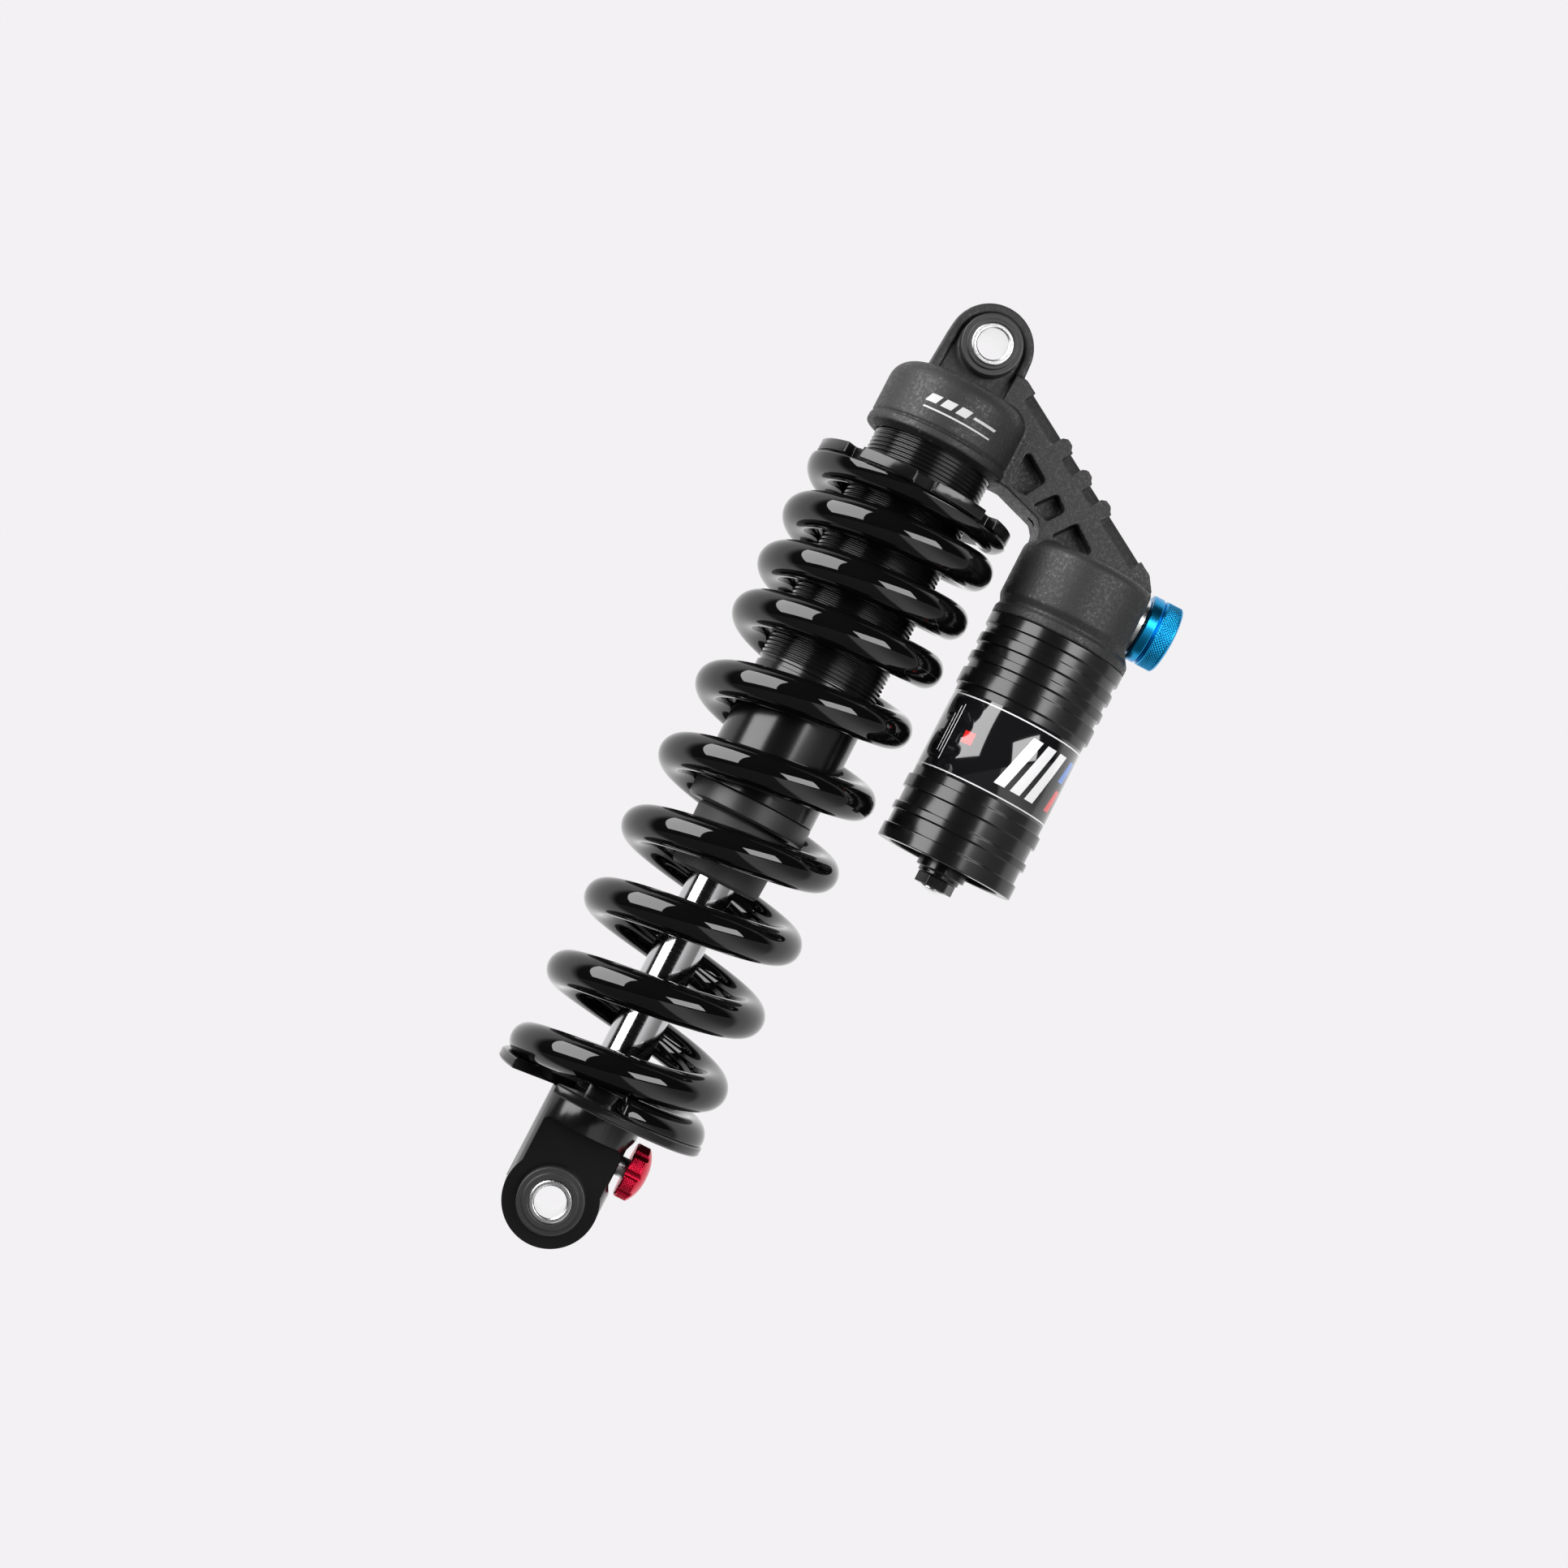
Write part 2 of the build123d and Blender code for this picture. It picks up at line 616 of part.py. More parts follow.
# ---------------------------------------------------------------- shaft and main piston
needle_bore_radius = 1.6
spindle_radius = 2.6
shaft_bottom_z = rebound_z + spindle_radius + 1.0
with BuildPart() as shaft:
    with BuildSketch(disc_plane(0, shaft_bottom_z)):
        Circle(shaft_radius)
    extrude(amount=shoulder_z - shaft_bottom_z)
    with BuildSketch(disc_plane(0, shoulder_z)):
        Circle(spigot_radius)
    extrude(amount=spigot_top_z - shoulder_z)
    chamfer(shaft.edges().sort_by(Axis.Z)[-1], length=0.5)
    with BuildSketch(disc_plane(0, shaft_bottom_z)):
        Circle(needle_bore_radius + running)
    extrude(amount=spigot_top_z - shaft_bottom_z, mode=Mode.SUBTRACT)
    # rebound ports below the piston
    with BuildSketch(Plane.XZ.offset(-shaft_radius - 1)):
        with Locations((0, shoulder_z - 4.5)):
            Circle(0.8)
    extrude(amount=shaft_diameter + 2, mode=Mode.SUBTRACT)
shaft.part.label = "shaft"
export_step(shaft.part, "parts/shaft.step")

with BuildPart() as top_out_bumper:
    with BuildSketch(disc_plane(0, top_out_bottom_z)):
        Circle(tube_bore_radius - 3.5)
        Circle(shaft_radius + fit, mode=Mode.SUBTRACT)
    extrude(amount=top_out_height - 1.3)
    with BuildSketch(disc_plane(0, top_out_bottom_z + 0.5)):
        Circle(tube_bore_radius - 4.5)
        Circle(shaft_radius + fit, mode=Mode.SUBTRACT)
    extrude(amount=top_out_height - 0.6)
top_out_bumper.part.label = "top_out_bumper"
export_step(top_out_bumper.part, "parts/top_out_bumper.step")

# stacks of thin shims that step inwards away from the piston
shim_count = 4
shim_thickness = shim_stack / shim_count
widest_shim = tube_bore_radius - 4.0
shim_step = (widest_shim - shaft_radius - 0.15) / (shim_count - 1)
for stack, face_z, way in (("rebound", piston_bottom_z, -1), ("compression", piston_top_z, 1)):
    with BuildPart() as shims:
        for step in range(shim_count):
            with BuildSketch(disc_plane(0, face_z + way * step * shim_thickness)):
                Circle(widest_shim - shim_step * step)
                Circle(spigot_radius + fit, mode=Mode.SUBTRACT)
            extrude(amount=way * shim_thickness)
    shims.part.label = f"{stack}_shims"
    export_step(shims.part, f"parts/{stack}_shims.step")

band_height = 5.0
band_depth = 1.2
port_circle = (tube_bore_radius + spigot_radius) / 2 - 0.6
with BuildPart() as main_piston:
    with BuildSketch(disc_plane(0, piston_bottom_z)):
        Circle(tube_bore_radius - 0.15)
        Circle(spigot_radius + fit, mode=Mode.SUBTRACT)
    extrude(amount=piston_height)
    with BuildSketch(disc_plane(0, piston_bottom_z + (piston_height - band_height) / 2)):
        Circle(tube_bore_radius + 1)
        Circle(tube_bore_radius - band_depth, mode=Mode.SUBTRACT)
    extrude(amount=band_height, mode=Mode.SUBTRACT)
    with BuildSketch(disc_plane(0, piston_bottom_z)):
        with PolarLocations(port_circle, 8):
            Circle(1.1)
    extrude(amount=piston_height, mode=Mode.SUBTRACT)
main_piston.part.label = "main_piston"
export_step(main_piston.part, "parts/main_piston.step")

with BuildPart() as piston_band:
    with BuildSketch(disc_plane(0, piston_bottom_z + (piston_height - band_height) / 2 + ring_slack)):
        Circle(tube_bore_radius - running)
        Circle(tube_bore_radius - band_depth + fit, mode=Mode.SUBTRACT)
    extrude(amount=band_height - 2 * ring_slack)
piston_band.part.label = "piston_band"
export_step(piston_band.part, "parts/piston_band.step")

with BuildPart() as piston_nut:
    with BuildSketch(disc_plane(0, nut_bottom_z)):
        RegularPolygon(6.0, 6, major_radius=False)
        Circle(spigot_radius + fit, mode=Mode.SUBTRACT)
    extrude(amount=piston_nut_height)
piston_nut.part.label = "piston_nut"
export_step(piston_nut.part, "parts/piston_nut.step")

needle_travel = 1.0
needle_low_z = rebound_z + spindle_radius + face_gap + 0.4
needle_high_z = shoulder_z - 4.5 - 0.8 - needle_travel
with BuildPart() as rebound_needle:
    with BuildSketch(disc_plane(0, needle_low_z)):
        Circle(needle_bore_radius)
    extrude(amount=needle_high_z - needle_low_z)
    chamfer(rebound_needle.edges().sort_by(Axis.Z)[-1], length=1.0, length2=1.4)
rebound_needle.part.label = "rebound_needle"
export_step(rebound_needle.part, "parts/rebound_needle.step")

# ---------------------------------------------------------------- lower eyelet
flats_half_width = lug_width / 2
flats_width = 2 * sqrt(eyelet_radius**2 - flats_half_width**2) + 0.2
flats_corner = 2.2
knob_recess = 1.4
recess_floor_x = eyelet_radius - knob_recess
with BuildPart() as lower_eyelet:
    with BuildSketch(disc_plane(0, lower_eye_z)):
        Circle(eyelet_radius)
    extrude(amount=eyelet_top_z - lower_eye_z - ring_slack / 2)
    with BuildSketch(eye_plane(lower_eye_z, flats_half_width)):
        Circle(eyelet_radius - 0.3)
    extrude(amount=lug_width)
    # collar inside the retainer
    with BuildSketch(disc_plane(0, eyelet_top_z - 1)):
        Circle(retainer_slot / 2 - 0.3)
    extrude(amount=retainer_thickness + 1 - ring_slack)
    # flats for the frame's mount
    for face in (-1, 1):
        with BuildSketch(eye_plane(0, face * flats_half_width)):
            with Locations((0, (flats_top_z + lower_eye_z - eyelet_radius - 1) / 2)):
                flats_height = flats_top_z - lower_eye_z + eyelet_radius + 1
                RectangleRounded(flats_width, flats_height, flats_corner)
        extrude(amount=-face * eyelet_radius, mode=Mode.SUBTRACT)
    with BuildSketch(eye_plane(lower_eye_z, lug_width)):
        Circle(eye_bore_radius)
    extrude(amount=2 * lug_width, mode=Mode.SUBTRACT)
    # socket for the shaft, and the way through to the adjuster
    with BuildSketch(disc_plane(0, shaft_bottom_z)):
        Circle(shaft_radius + fit)
    extrude(amount=-shaft_bottom_z, mode=Mode.SUBTRACT)
    with BuildSketch(disc_plane(0, rebound_z)):
        Circle(needle_bore_radius + running)
    extrude(amount=shaft_bottom_z - rebound_z, mode=Mode.SUBTRACT)
    # recess and bore for the rebound adjuster
    with BuildSketch(knob_plane(recess_floor_x, rebound_z)):
        Circle(rebound_knob_radius + 0.25)
    extrude(amount=eyelet_radius, mode=Mode.SUBTRACT)
    with BuildSketch(knob_plane(-5.0, rebound_z)):
        Circle(spindle_radius + running)
    extrude(amount=2 * eyelet_radius, mode=Mode.SUBTRACT)
lower_eyelet.part.label = "lower_eyelet"
export_step(lower_eyelet.part, "parts/lower_eyelet.step")

# ---------------------------------------------------------------- rebound adjuster
knob_back_x = eyelet_radius + 0.9
with BuildPart() as rebound_spindle:
    with BuildSketch(knob_plane(-4.6, rebound_z)):
        Circle(spindle_radius)
    extrude(amount=knob_back_x + 4.6 + 2.2)
rebound_spindle.part.label = "rebound_spindle"
export_step(rebound_spindle.part, "parts/rebound_spindle.step")

knob_flutes = 8
with BuildPart() as rebound_knob:
    with BuildSketch(Plane(origin=(0, 0, rebound_z), x_dir=(1, 0, 0), z_dir=(0, -1, 0))):
        with BuildLine():
            rim_x = knob_back_x + rebound_knob_length - 1.8
            Polyline(
                (knob_back_x, 0),
                (knob_back_x, rebound_knob_radius - 0.4),
                (knob_back_x + 0.4, rebound_knob_radius),
                (rim_x - 0.5, rebound_knob_radius),
                (rim_x, rebound_knob_radius - 0.6),
            )
            ThreePointArc(
                (rim_x, rebound_knob_radius - 0.6),
                (rim_x + 1.3, rebound_knob_radius * 0.55),
                (rim_x + 1.8, 1.2),
            )
            Polyline((rim_x + 1.8, 1.2), (rim_x + 1.8, 0), (knob_back_x, 0))
        make_face()
    revolve(axis=Axis((0, 0, rebound_z), (1, 0, 0)))
    with BuildSketch(knob_plane(knob_back_x, rebound_z)):
        Circle(spindle_radius + fit)
    extrude(amount=2.3, mode=Mode.SUBTRACT)
    with BuildSketch(knob_plane(knob_back_x - 1, rebound_z)):
        with PolarLocations(rebound_knob_radius + 0.55, knob_flutes):
            Circle(1.3)
    extrude(amount=rebound_knob_length + 2, mode=Mode.SUBTRACT)
rebound_knob.part.label = "rebound_knob"
export_step(rebound_knob.part, "parts/rebound_knob.step")

# ---------------------------------------------------------------- reservoir
label_top_z = can_top_z - 22.0
label_bottom_z = label_top_z - 21.6
label_thickness = 0.12
rim_bands = (
    (0.0, 3.2),
    (5.7, 8.4),
    (10.9, 13.3),
    (15.6, 19.8),
    (can_length - 17.5, can_length - 14.0),
    (can_length - 9.9, can_length - 7.8),
    (can_length - 3.9, can_length),
)
end_recess_depth = 5.0
with BuildPart() as reservoir_can:
    with BuildSketch(disc_plane(reservoir_offset, can_bottom_z)):
        Circle(can_radius)
        Circle(can_bore_radius, mode=Mode.SUBTRACT)
    extrude(amount=can_length - 0.05)
    # raised bands round the can
    for band_start, band_stop in rim_bands:
        with BuildSketch(disc_plane(reservoir_offset, can_top_z - band_stop)):
            Circle(can_rim_radius)
            Circle(can_radius, mode=Mode.SUBTRACT)
        extrude(amount=band_stop - band_start - 0.05)
    # groove for the end cap's circlip
    with BuildSketch(disc_plane(reservoir_offset, can_bottom_z + 2.6)):
        Circle(can_bore_radius + 0.9)
    extrude(amount=1.2, mode=Mode.SUBTRACT)
reservoir_can.part.label = "reservoir_can"
export_step(reservoir_can.part, "parts/reservoir_can.step")

label_half_angle = 112.0
with BuildPart() as reservoir_label:
    with BuildSketch(disc_plane(reservoir_offset, label_bottom_z)):
        Circle(can_radius + 0.01 + label_thickness)
        Circle(can_radius + 0.01, mode=Mode.SUBTRACT)
        # gap between the label's ends, at the back
        with BuildLine():
            far = 2 * can_radius
            gap_x = far * sin(radians(label_half_angle))
            gap_y = -far * cos(radians(label_half_angle))
            Polyline((0, 0), (gap_x, gap_y), (far, far), (-far, far), (-gap_x, gap_y), close=True)
        make_face(mode=Mode.SUBTRACT)
    extrude(amount=label_top_z - label_bottom_z)
reservoir_label.part.label = "reservoir_label"
export_step(reservoir_label.part, "parts/reservoir_label.step")

with BuildPart() as reservoir_o_ring:
    with BuildSketch(axis_plane(reservoir_offset)):
        with Locations((can_bore_radius - 0.84, can_top_z - 4.0)):
            Circle(0.74)
    revolve(axis=reservoir_axis)
reservoir_o_ring.part.label = "reservoir_o_ring"
export_step(reservoir_o_ring.part, "parts/reservoir_o_ring.step")

gas_top_z = can_top_z - floating_piston_gap
gas_low_z = gas_top_z - floating_piston_height
ring_z = gas_low_z + 3.0
wear_z = gas_low_z + 6.5
with BuildPart() as floating_piston:
    with BuildSketch(disc_plane(reservoir_offset, gas_low_z)):
        Circle(can_bore_radius - 0.15)
    extrude(amount=floating_piston_height)
    with BuildSketch(disc_plane(reservoir_offset, gas_low_z)):
        Circle(can_bore_radius - 3.5)
    extrude(amount=floating_piston_height - 4.0, mode=Mode.SUBTRACT)
    with BuildSketch(disc_plane(reservoir_offset, ring_z - 0.9)):
        Circle(can_bore_radius + 1)
        Circle(can_bore_radius - 1.7, mode=Mode.SUBTRACT)
    extrude(amount=1.8, mode=Mode.SUBTRACT)
    with BuildSketch(disc_plane(reservoir_offset, wear_z)):
        Circle(can_bore_radius + 1)
        Circle(can_bore_radius - 1.0, mode=Mode.SUBTRACT)
    extrude(amount=3.0, mode=Mode.SUBTRACT)
floating_piston.part.label = "floating_piston"
export_step(floating_piston.part, "parts/floating_piston.step")

with BuildPart() as floating_piston_o_ring:
    with BuildSketch(axis_plane(reservoir_offset)):
        with Locations((can_bore_radius - running - 0.8, ring_z)):
            Circle(0.8)
    revolve(axis=reservoir_axis)
floating_piston_o_ring.part.label = "floating_piston_o_ring"
export_step(floating_piston_o_ring.part, "parts/floating_piston_o_ring.step")

with BuildPart() as floating_piston_band:
    with BuildSketch(disc_plane(reservoir_offset, wear_z + ring_slack)):
        Circle(can_bore_radius - running)
        Circle(can_bore_radius - 1.0 + fit, mode=Mode.SUBTRACT)
    extrude(amount=3.0 - 2 * ring_slack)
floating_piston_band.part.label = "floating_piston_band"
export_step(floating_piston_band.part, "parts/floating_piston_band.step")

# end cap with its valve boss, held by a circlip
cap_face_z = can_bottom_z + 3.9
end_cap_height = 7.0
boss_radius = 6.6
boss_bottom_z = can_bottom_z - 2.0
valve_bore_radius = 3.6
with BuildPart() as reservoir_end_cap:
    with BuildSketch(disc_plane(reservoir_offset, cap_face_z)):
        Circle(can_bore_radius - fit)
    extrude(amount=end_cap_height)
    with BuildSketch(disc_plane(reservoir_offset, boss_bottom_z)):
        Circle(boss_radius)
    extrude(amount=cap_face_z - boss_bottom_z)
    with BuildSketch(disc_plane(reservoir_offset, boss_bottom_z - 1.2)):
        Circle(boss_radius - 1.05)
    extrude(amount=1.2)
    with BuildSketch(disc_plane(reservoir_offset, cap_face_z + 2.6)):
        Circle(can_bore_radius + 1)
        Circle(can_bore_radius - 1.7, mode=Mode.SUBTRACT)
    extrude(amount=1.8, mode=Mode.SUBTRACT)
    with BuildSketch(disc_plane(reservoir_offset, boss_bottom_z - 2)):
        Circle(valve_bore_radius)
    extrude(amount=end_cap_height + cap_face_z - boss_bottom_z + 2, mode=Mode.SUBTRACT)
reservoir_end_cap.part.label = "reservoir_end_cap"
export_step(reservoir_end_cap.part, "parts/reservoir_end_cap.step")

with BuildPart() as end_cap_o_ring:
    with BuildSketch(axis_plane(reservoir_offset)):
        with Locations((can_bore_radius - 0.9, cap_face_z + 3.5)):
            Circle(0.78)
    revolve(axis=reservoir_axis)
end_cap_o_ring.part.label = "end_cap_o_ring"
export_step(end_cap_o_ring.part, "parts/end_cap_o_ring.step")

with BuildPart() as end_cap_circlip:
    with BuildSketch(disc_plane(reservoir_offset, can_bottom_z + 2.6 + ring_slack)):
        Circle(can_bore_radius + 0.9 - ring_slack)
        Circle(can_bore_radius - 1.0, mode=Mode.SUBTRACT)
        with Locations((0, -can_bore_radius)):
            Rectangle(6.0, 4.0, mode=Mode.SUBTRACT)
    extrude(amount=1.2 - 2 * ring_slack)
end_cap_circlip.part.label = "end_cap_circlip"
export_step(end_cap_circlip.part, "parts/end_cap_circlip.step")

hex_top_z = boss_bottom_z - 1.2 - face_gap / 2
hex_height = 2.8
core_radius = 1.8
with BuildPart() as gas_valve:
    with BuildSketch(disc_plane(reservoir_offset, hex_top_z)):
        Circle(valve_bore_radius - fit)
    extrude(amount=12.0)
    with BuildSketch(disc_plane(reservoir_offset, hex_top_z - hex_height)):
        RegularPolygon(5.2, 6)
    extrude(amount=hex_height)
    with BuildSketch(disc_plane(reservoir_offset, hex_top_z - hex_height)):
        Circle(core_radius + fit)
    extrude(amount=20, mode=Mode.SUBTRACT)
gas_valve.part.label = "gas_valve"
export_step(gas_valve.part, "parts/gas_valve.step")

with BuildPart() as gas_valve_core:
    with BuildSketch(disc_plane(reservoir_offset, hex_top_z + 1.0)):
        Circle(core_radius)
    extrude(amount=9.0)
    with BuildSketch(disc_plane(reservoir_offset, hex_top_z + 10.0)):
        Circle(0.7)
    extrude(amount=2.0)
gas_valve_core.part.label = "gas_valve_core"
export_step(gas_valve_core.part, "parts/gas_valve_core.step")

dome_radius = 3.2
dome_height = 1.5
with BuildPart() as gas_valve_plug:
    with BuildSketch(axis_plane(reservoir_offset)):
        with BuildLine():
            plug_z = hex_top_z - hex_height - 0.02
            Polyline(
                (0.6, plug_z - dome_height),
                (0, plug_z - dome_height),
                (0, hex_top_z + 0.8),
                (core_radius, hex_top_z + 0.8),
                (core_radius, plug_z),
                (dome_radius, plug_z),
                (dome_radius, plug_z - 0.3),
            )
            ThreePointArc(
                (dome_radius, plug_z - 0.3),
                (dome_radius * 0.66, plug_z - dome_height * 0.72),
                (0.6, plug_z - dome_height),
            )
        make_face()
    revolve(axis=reservoir_axis)
gas_valve_plug.part.label = "gas_valve_plug"
export_step(gas_valve_plug.part, "parts/gas_valve_plug.step")

# ---------------------------------------------------------------- compression adjuster
flange_thickness = 1.9
flange_radius = 7.2
spindle_bore = 2.5
knob_start_x = knob_face_x + flange_thickness + face_gap
seat_x = knob_face_x - compression_bore_depth + 3.5
with BuildPart() as compression_valve_body:
    with BuildSketch(knob_plane(knob_face_x + 0.02, adjuster_z)):
        Circle(flange_radius)
    extrude(amount=flange_thickness)
    with BuildSketch(knob_plane(seat_x, adjuster_z)):
        Circle(compression_bore_radius - fit)
    extrude(amount=knob_face_x - seat_x + 0.02)
    with BuildSketch(knob_plane(seat_x + 3.0, adjuster_z)):
        Circle(spindle_bore + running)
    extrude(amount=knob_face_x - seat_x + flange_thickness, mode=Mode.SUBTRACT)
    with BuildSketch(knob_plane(seat_x - 1, adjuster_z)):
        Circle(1.5)
    extrude(amount=5, mode=Mode.SUBTRACT)
    # cross drilling that lets the oil out to the reservoir
    with BuildSketch(disc_plane(seat_x + 4.5, adjuster_z - 2 * compression_bore_radius)):
        Circle(1.2)
    extrude(amount=2 * compression_bore_radius, mode=Mode.SUBTRACT)
compression_valve_body.part.label = "compression_valve_body"
export_step(compression_valve_body.part, "parts/compression_valve_body.step")

compression_spindle_x = seat_x + 9.0
with BuildPart() as compression_needle:
    with BuildSketch(knob_plane(seat_x + 4.4, adjuster_z)):
        Circle(spindle_bore)
    extrude(amount=compression_spindle_x - 1.2 - seat_x - 4.4)
    with BuildSketch(knob_plane(seat_x + 1.0, adjuster_z)):
        Circle(1.2)
    extrude(amount=3.4)
compression_needle.part.label = "compression_needle"
export_step(compression_needle.part, "parts/compression_needle.step")

knob_socket = 5.0
with BuildPart() as compression_spindle:
    with BuildSketch(knob_plane(compression_spindle_x, adjuster_z)):
        Circle(spindle_bore)
    extrude(amount=knob_start_x + knob_socket - 0.2 - compression_spindle_x)
compression_spindle.part.label = "compression_spindle"
export_step(compression_spindle.part, "parts/compression_spindle.step")

grip_start_x = knob_start_x + 3.6
grip_end_x = knob_start_x + compression_knob_length - 1.0
with BuildPart() as compression_knob:
    with BuildSketch(Plane(origin=(0, 0, adjuster_z), x_dir=(1, 0, 0), z_dir=(0, -1, 0))):
        with BuildLine():
            Polyline(
                (knob_start_x, 0),
                (knob_start_x, compression_knob_radius - 0.3),
                (knob_start_x + 0.3, compression_knob_radius),
                (grip_start_x - 0.9, compression_knob_radius),
                (grip_start_x - 0.3, compression_knob_radius - 0.6),
                (grip_start_x, compression_knob_radius),
                (grip_end_x - 0.4, compression_knob_radius),
                (grip_end_x, compression_knob_radius - 0.5),
            )
            ThreePointArc(
                (grip_end_x, compression_knob_radius - 0.5),
                (grip_end_x + 0.7, compression_knob_radius * 0.55),
                (grip_end_x + 1.0, 1.5),
            )
            Polyline((grip_end_x + 1.0, 1.5), (grip_end_x + 1.0, 0), (knob_start_x, 0))
        make_face()
    revolve(axis=Axis((0, 0, adjuster_z), (1, 0, 0)))
    with BuildSketch(knob_plane(knob_start_x, adjuster_z)):
        Circle(spindle_bore + fit)
    extrude(amount=knob_socket, mode=Mode.SUBTRACT)
    # side hole for the grub screw
    with BuildSketch(Plane(origin=(grip_start_x + 0.9, 0, adjuster_z), x_dir=(1, 0, 0), z_dir=(0, -0.5, 1))):
        Circle(1.0)
    extrude(amount=compression_knob_radius + 2, mode=Mode.SUBTRACT)
compression_knob.part.label = "compression_knob"
export_step(compression_knob.part, "parts/compression_knob.step")

screw_length = 3.4
with BuildPart() as compression_grub_screw:
    screw_plane = Plane(
        origin=(grip_start_x + 0.9, 0, adjuster_z), x_dir=(1, 0, 0), z_dir=(0, -0.5, 1)
    ).offset(spindle_bore + 0.1)
    with BuildSketch(screw_plane):
        Circle(1.0 - fit)
    extrude(amount=screw_length)
    with BuildSketch(screw_plane.offset(screw_length)):
        RegularPolygon(0.5, 6)
    extrude(amount=-1.2, mode=Mode.SUBTRACT)
compression_grub_screw.part.label = "compression_grub_screw"
export_step(compression_grub_screw.part, "parts/compression_grub_screw.step")
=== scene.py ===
import json
from math import cos, hypot, pi, radians, sin, tan

import bmesh
import bpy
import numpy as np
from mathutils import Matrix, Vector

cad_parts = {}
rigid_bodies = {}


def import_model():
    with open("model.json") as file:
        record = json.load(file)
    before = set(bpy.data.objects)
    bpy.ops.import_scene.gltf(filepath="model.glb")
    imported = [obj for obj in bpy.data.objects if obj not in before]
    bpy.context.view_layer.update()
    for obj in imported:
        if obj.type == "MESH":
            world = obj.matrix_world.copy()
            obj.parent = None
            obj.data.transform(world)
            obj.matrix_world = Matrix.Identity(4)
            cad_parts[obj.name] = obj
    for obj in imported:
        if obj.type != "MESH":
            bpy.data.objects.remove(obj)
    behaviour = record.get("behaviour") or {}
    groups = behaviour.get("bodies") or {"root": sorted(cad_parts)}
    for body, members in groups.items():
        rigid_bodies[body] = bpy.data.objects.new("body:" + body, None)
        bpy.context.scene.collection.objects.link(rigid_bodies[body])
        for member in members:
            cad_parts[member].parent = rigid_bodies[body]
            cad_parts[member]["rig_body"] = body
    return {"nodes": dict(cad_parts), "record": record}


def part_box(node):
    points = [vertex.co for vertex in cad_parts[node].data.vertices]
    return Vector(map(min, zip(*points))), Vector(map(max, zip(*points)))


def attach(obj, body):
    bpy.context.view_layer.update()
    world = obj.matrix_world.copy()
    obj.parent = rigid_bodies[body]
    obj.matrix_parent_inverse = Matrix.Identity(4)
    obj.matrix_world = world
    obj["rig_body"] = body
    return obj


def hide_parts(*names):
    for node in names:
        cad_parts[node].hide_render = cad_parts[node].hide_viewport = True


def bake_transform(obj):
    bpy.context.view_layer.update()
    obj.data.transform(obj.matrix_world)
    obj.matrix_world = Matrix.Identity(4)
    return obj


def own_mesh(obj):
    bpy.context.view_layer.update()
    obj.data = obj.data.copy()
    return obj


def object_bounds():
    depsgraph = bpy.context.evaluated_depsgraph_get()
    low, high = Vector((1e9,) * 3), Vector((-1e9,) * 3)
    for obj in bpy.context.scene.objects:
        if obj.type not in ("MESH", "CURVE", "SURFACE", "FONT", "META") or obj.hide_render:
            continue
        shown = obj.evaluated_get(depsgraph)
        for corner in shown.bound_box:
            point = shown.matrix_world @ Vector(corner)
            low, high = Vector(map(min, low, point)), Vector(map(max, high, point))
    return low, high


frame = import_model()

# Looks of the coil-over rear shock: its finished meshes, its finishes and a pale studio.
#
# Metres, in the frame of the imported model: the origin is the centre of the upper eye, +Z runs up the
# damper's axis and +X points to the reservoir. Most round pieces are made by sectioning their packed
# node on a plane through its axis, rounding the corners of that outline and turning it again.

MM = 0.001
HAIR = 1e-7                  # metres: shorter lengths count as nothing
GRID = 1e7                   # steps per metre on which the ends of a section's pieces are matched
CLEAR_CUT = 0.7              # radians: a section here runs clear of flats, slots and holes
STRAIGHT = radians(0.4)      # an outline that turns less than this runs straight on
SHARP = radians(24)          # an outline that turns more than this has a corner to round
NODES = frame["nodes"]
SLOTS = {part["node"]: part["material_slot"] for part in frame["record"]["subparts"]}
cad_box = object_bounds()


# ================================================================ places read from the frame
def middle(node):
    """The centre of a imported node's box."""
    low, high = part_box(node)
    return (low + high) / 2


upper_eye, lower_eye = (Vector(mount["pos_m"]) for mount in frame["record"]["mounts"])
damper_centre = Vector((0, 0, 0))
can_centre = middle("reservoir_can")
rebound_centre = middle("rebound_spindle")
compression_centre = middle("compression_spindle")
ALONG_X, ALONG_Y, ALONG_Z = Vector((1, 0, 0)), Vector((0, 1, 0)), Vector((0, 0, 1))


# ================================================================ outlines and turned meshes
def square_to(axis):
    """Two directions square to an axis, from which angles round it are counted."""
    side = ALONG_Z if abs(axis.x) > 0.5 else ALONG_X
    return side, axis.cross(side)


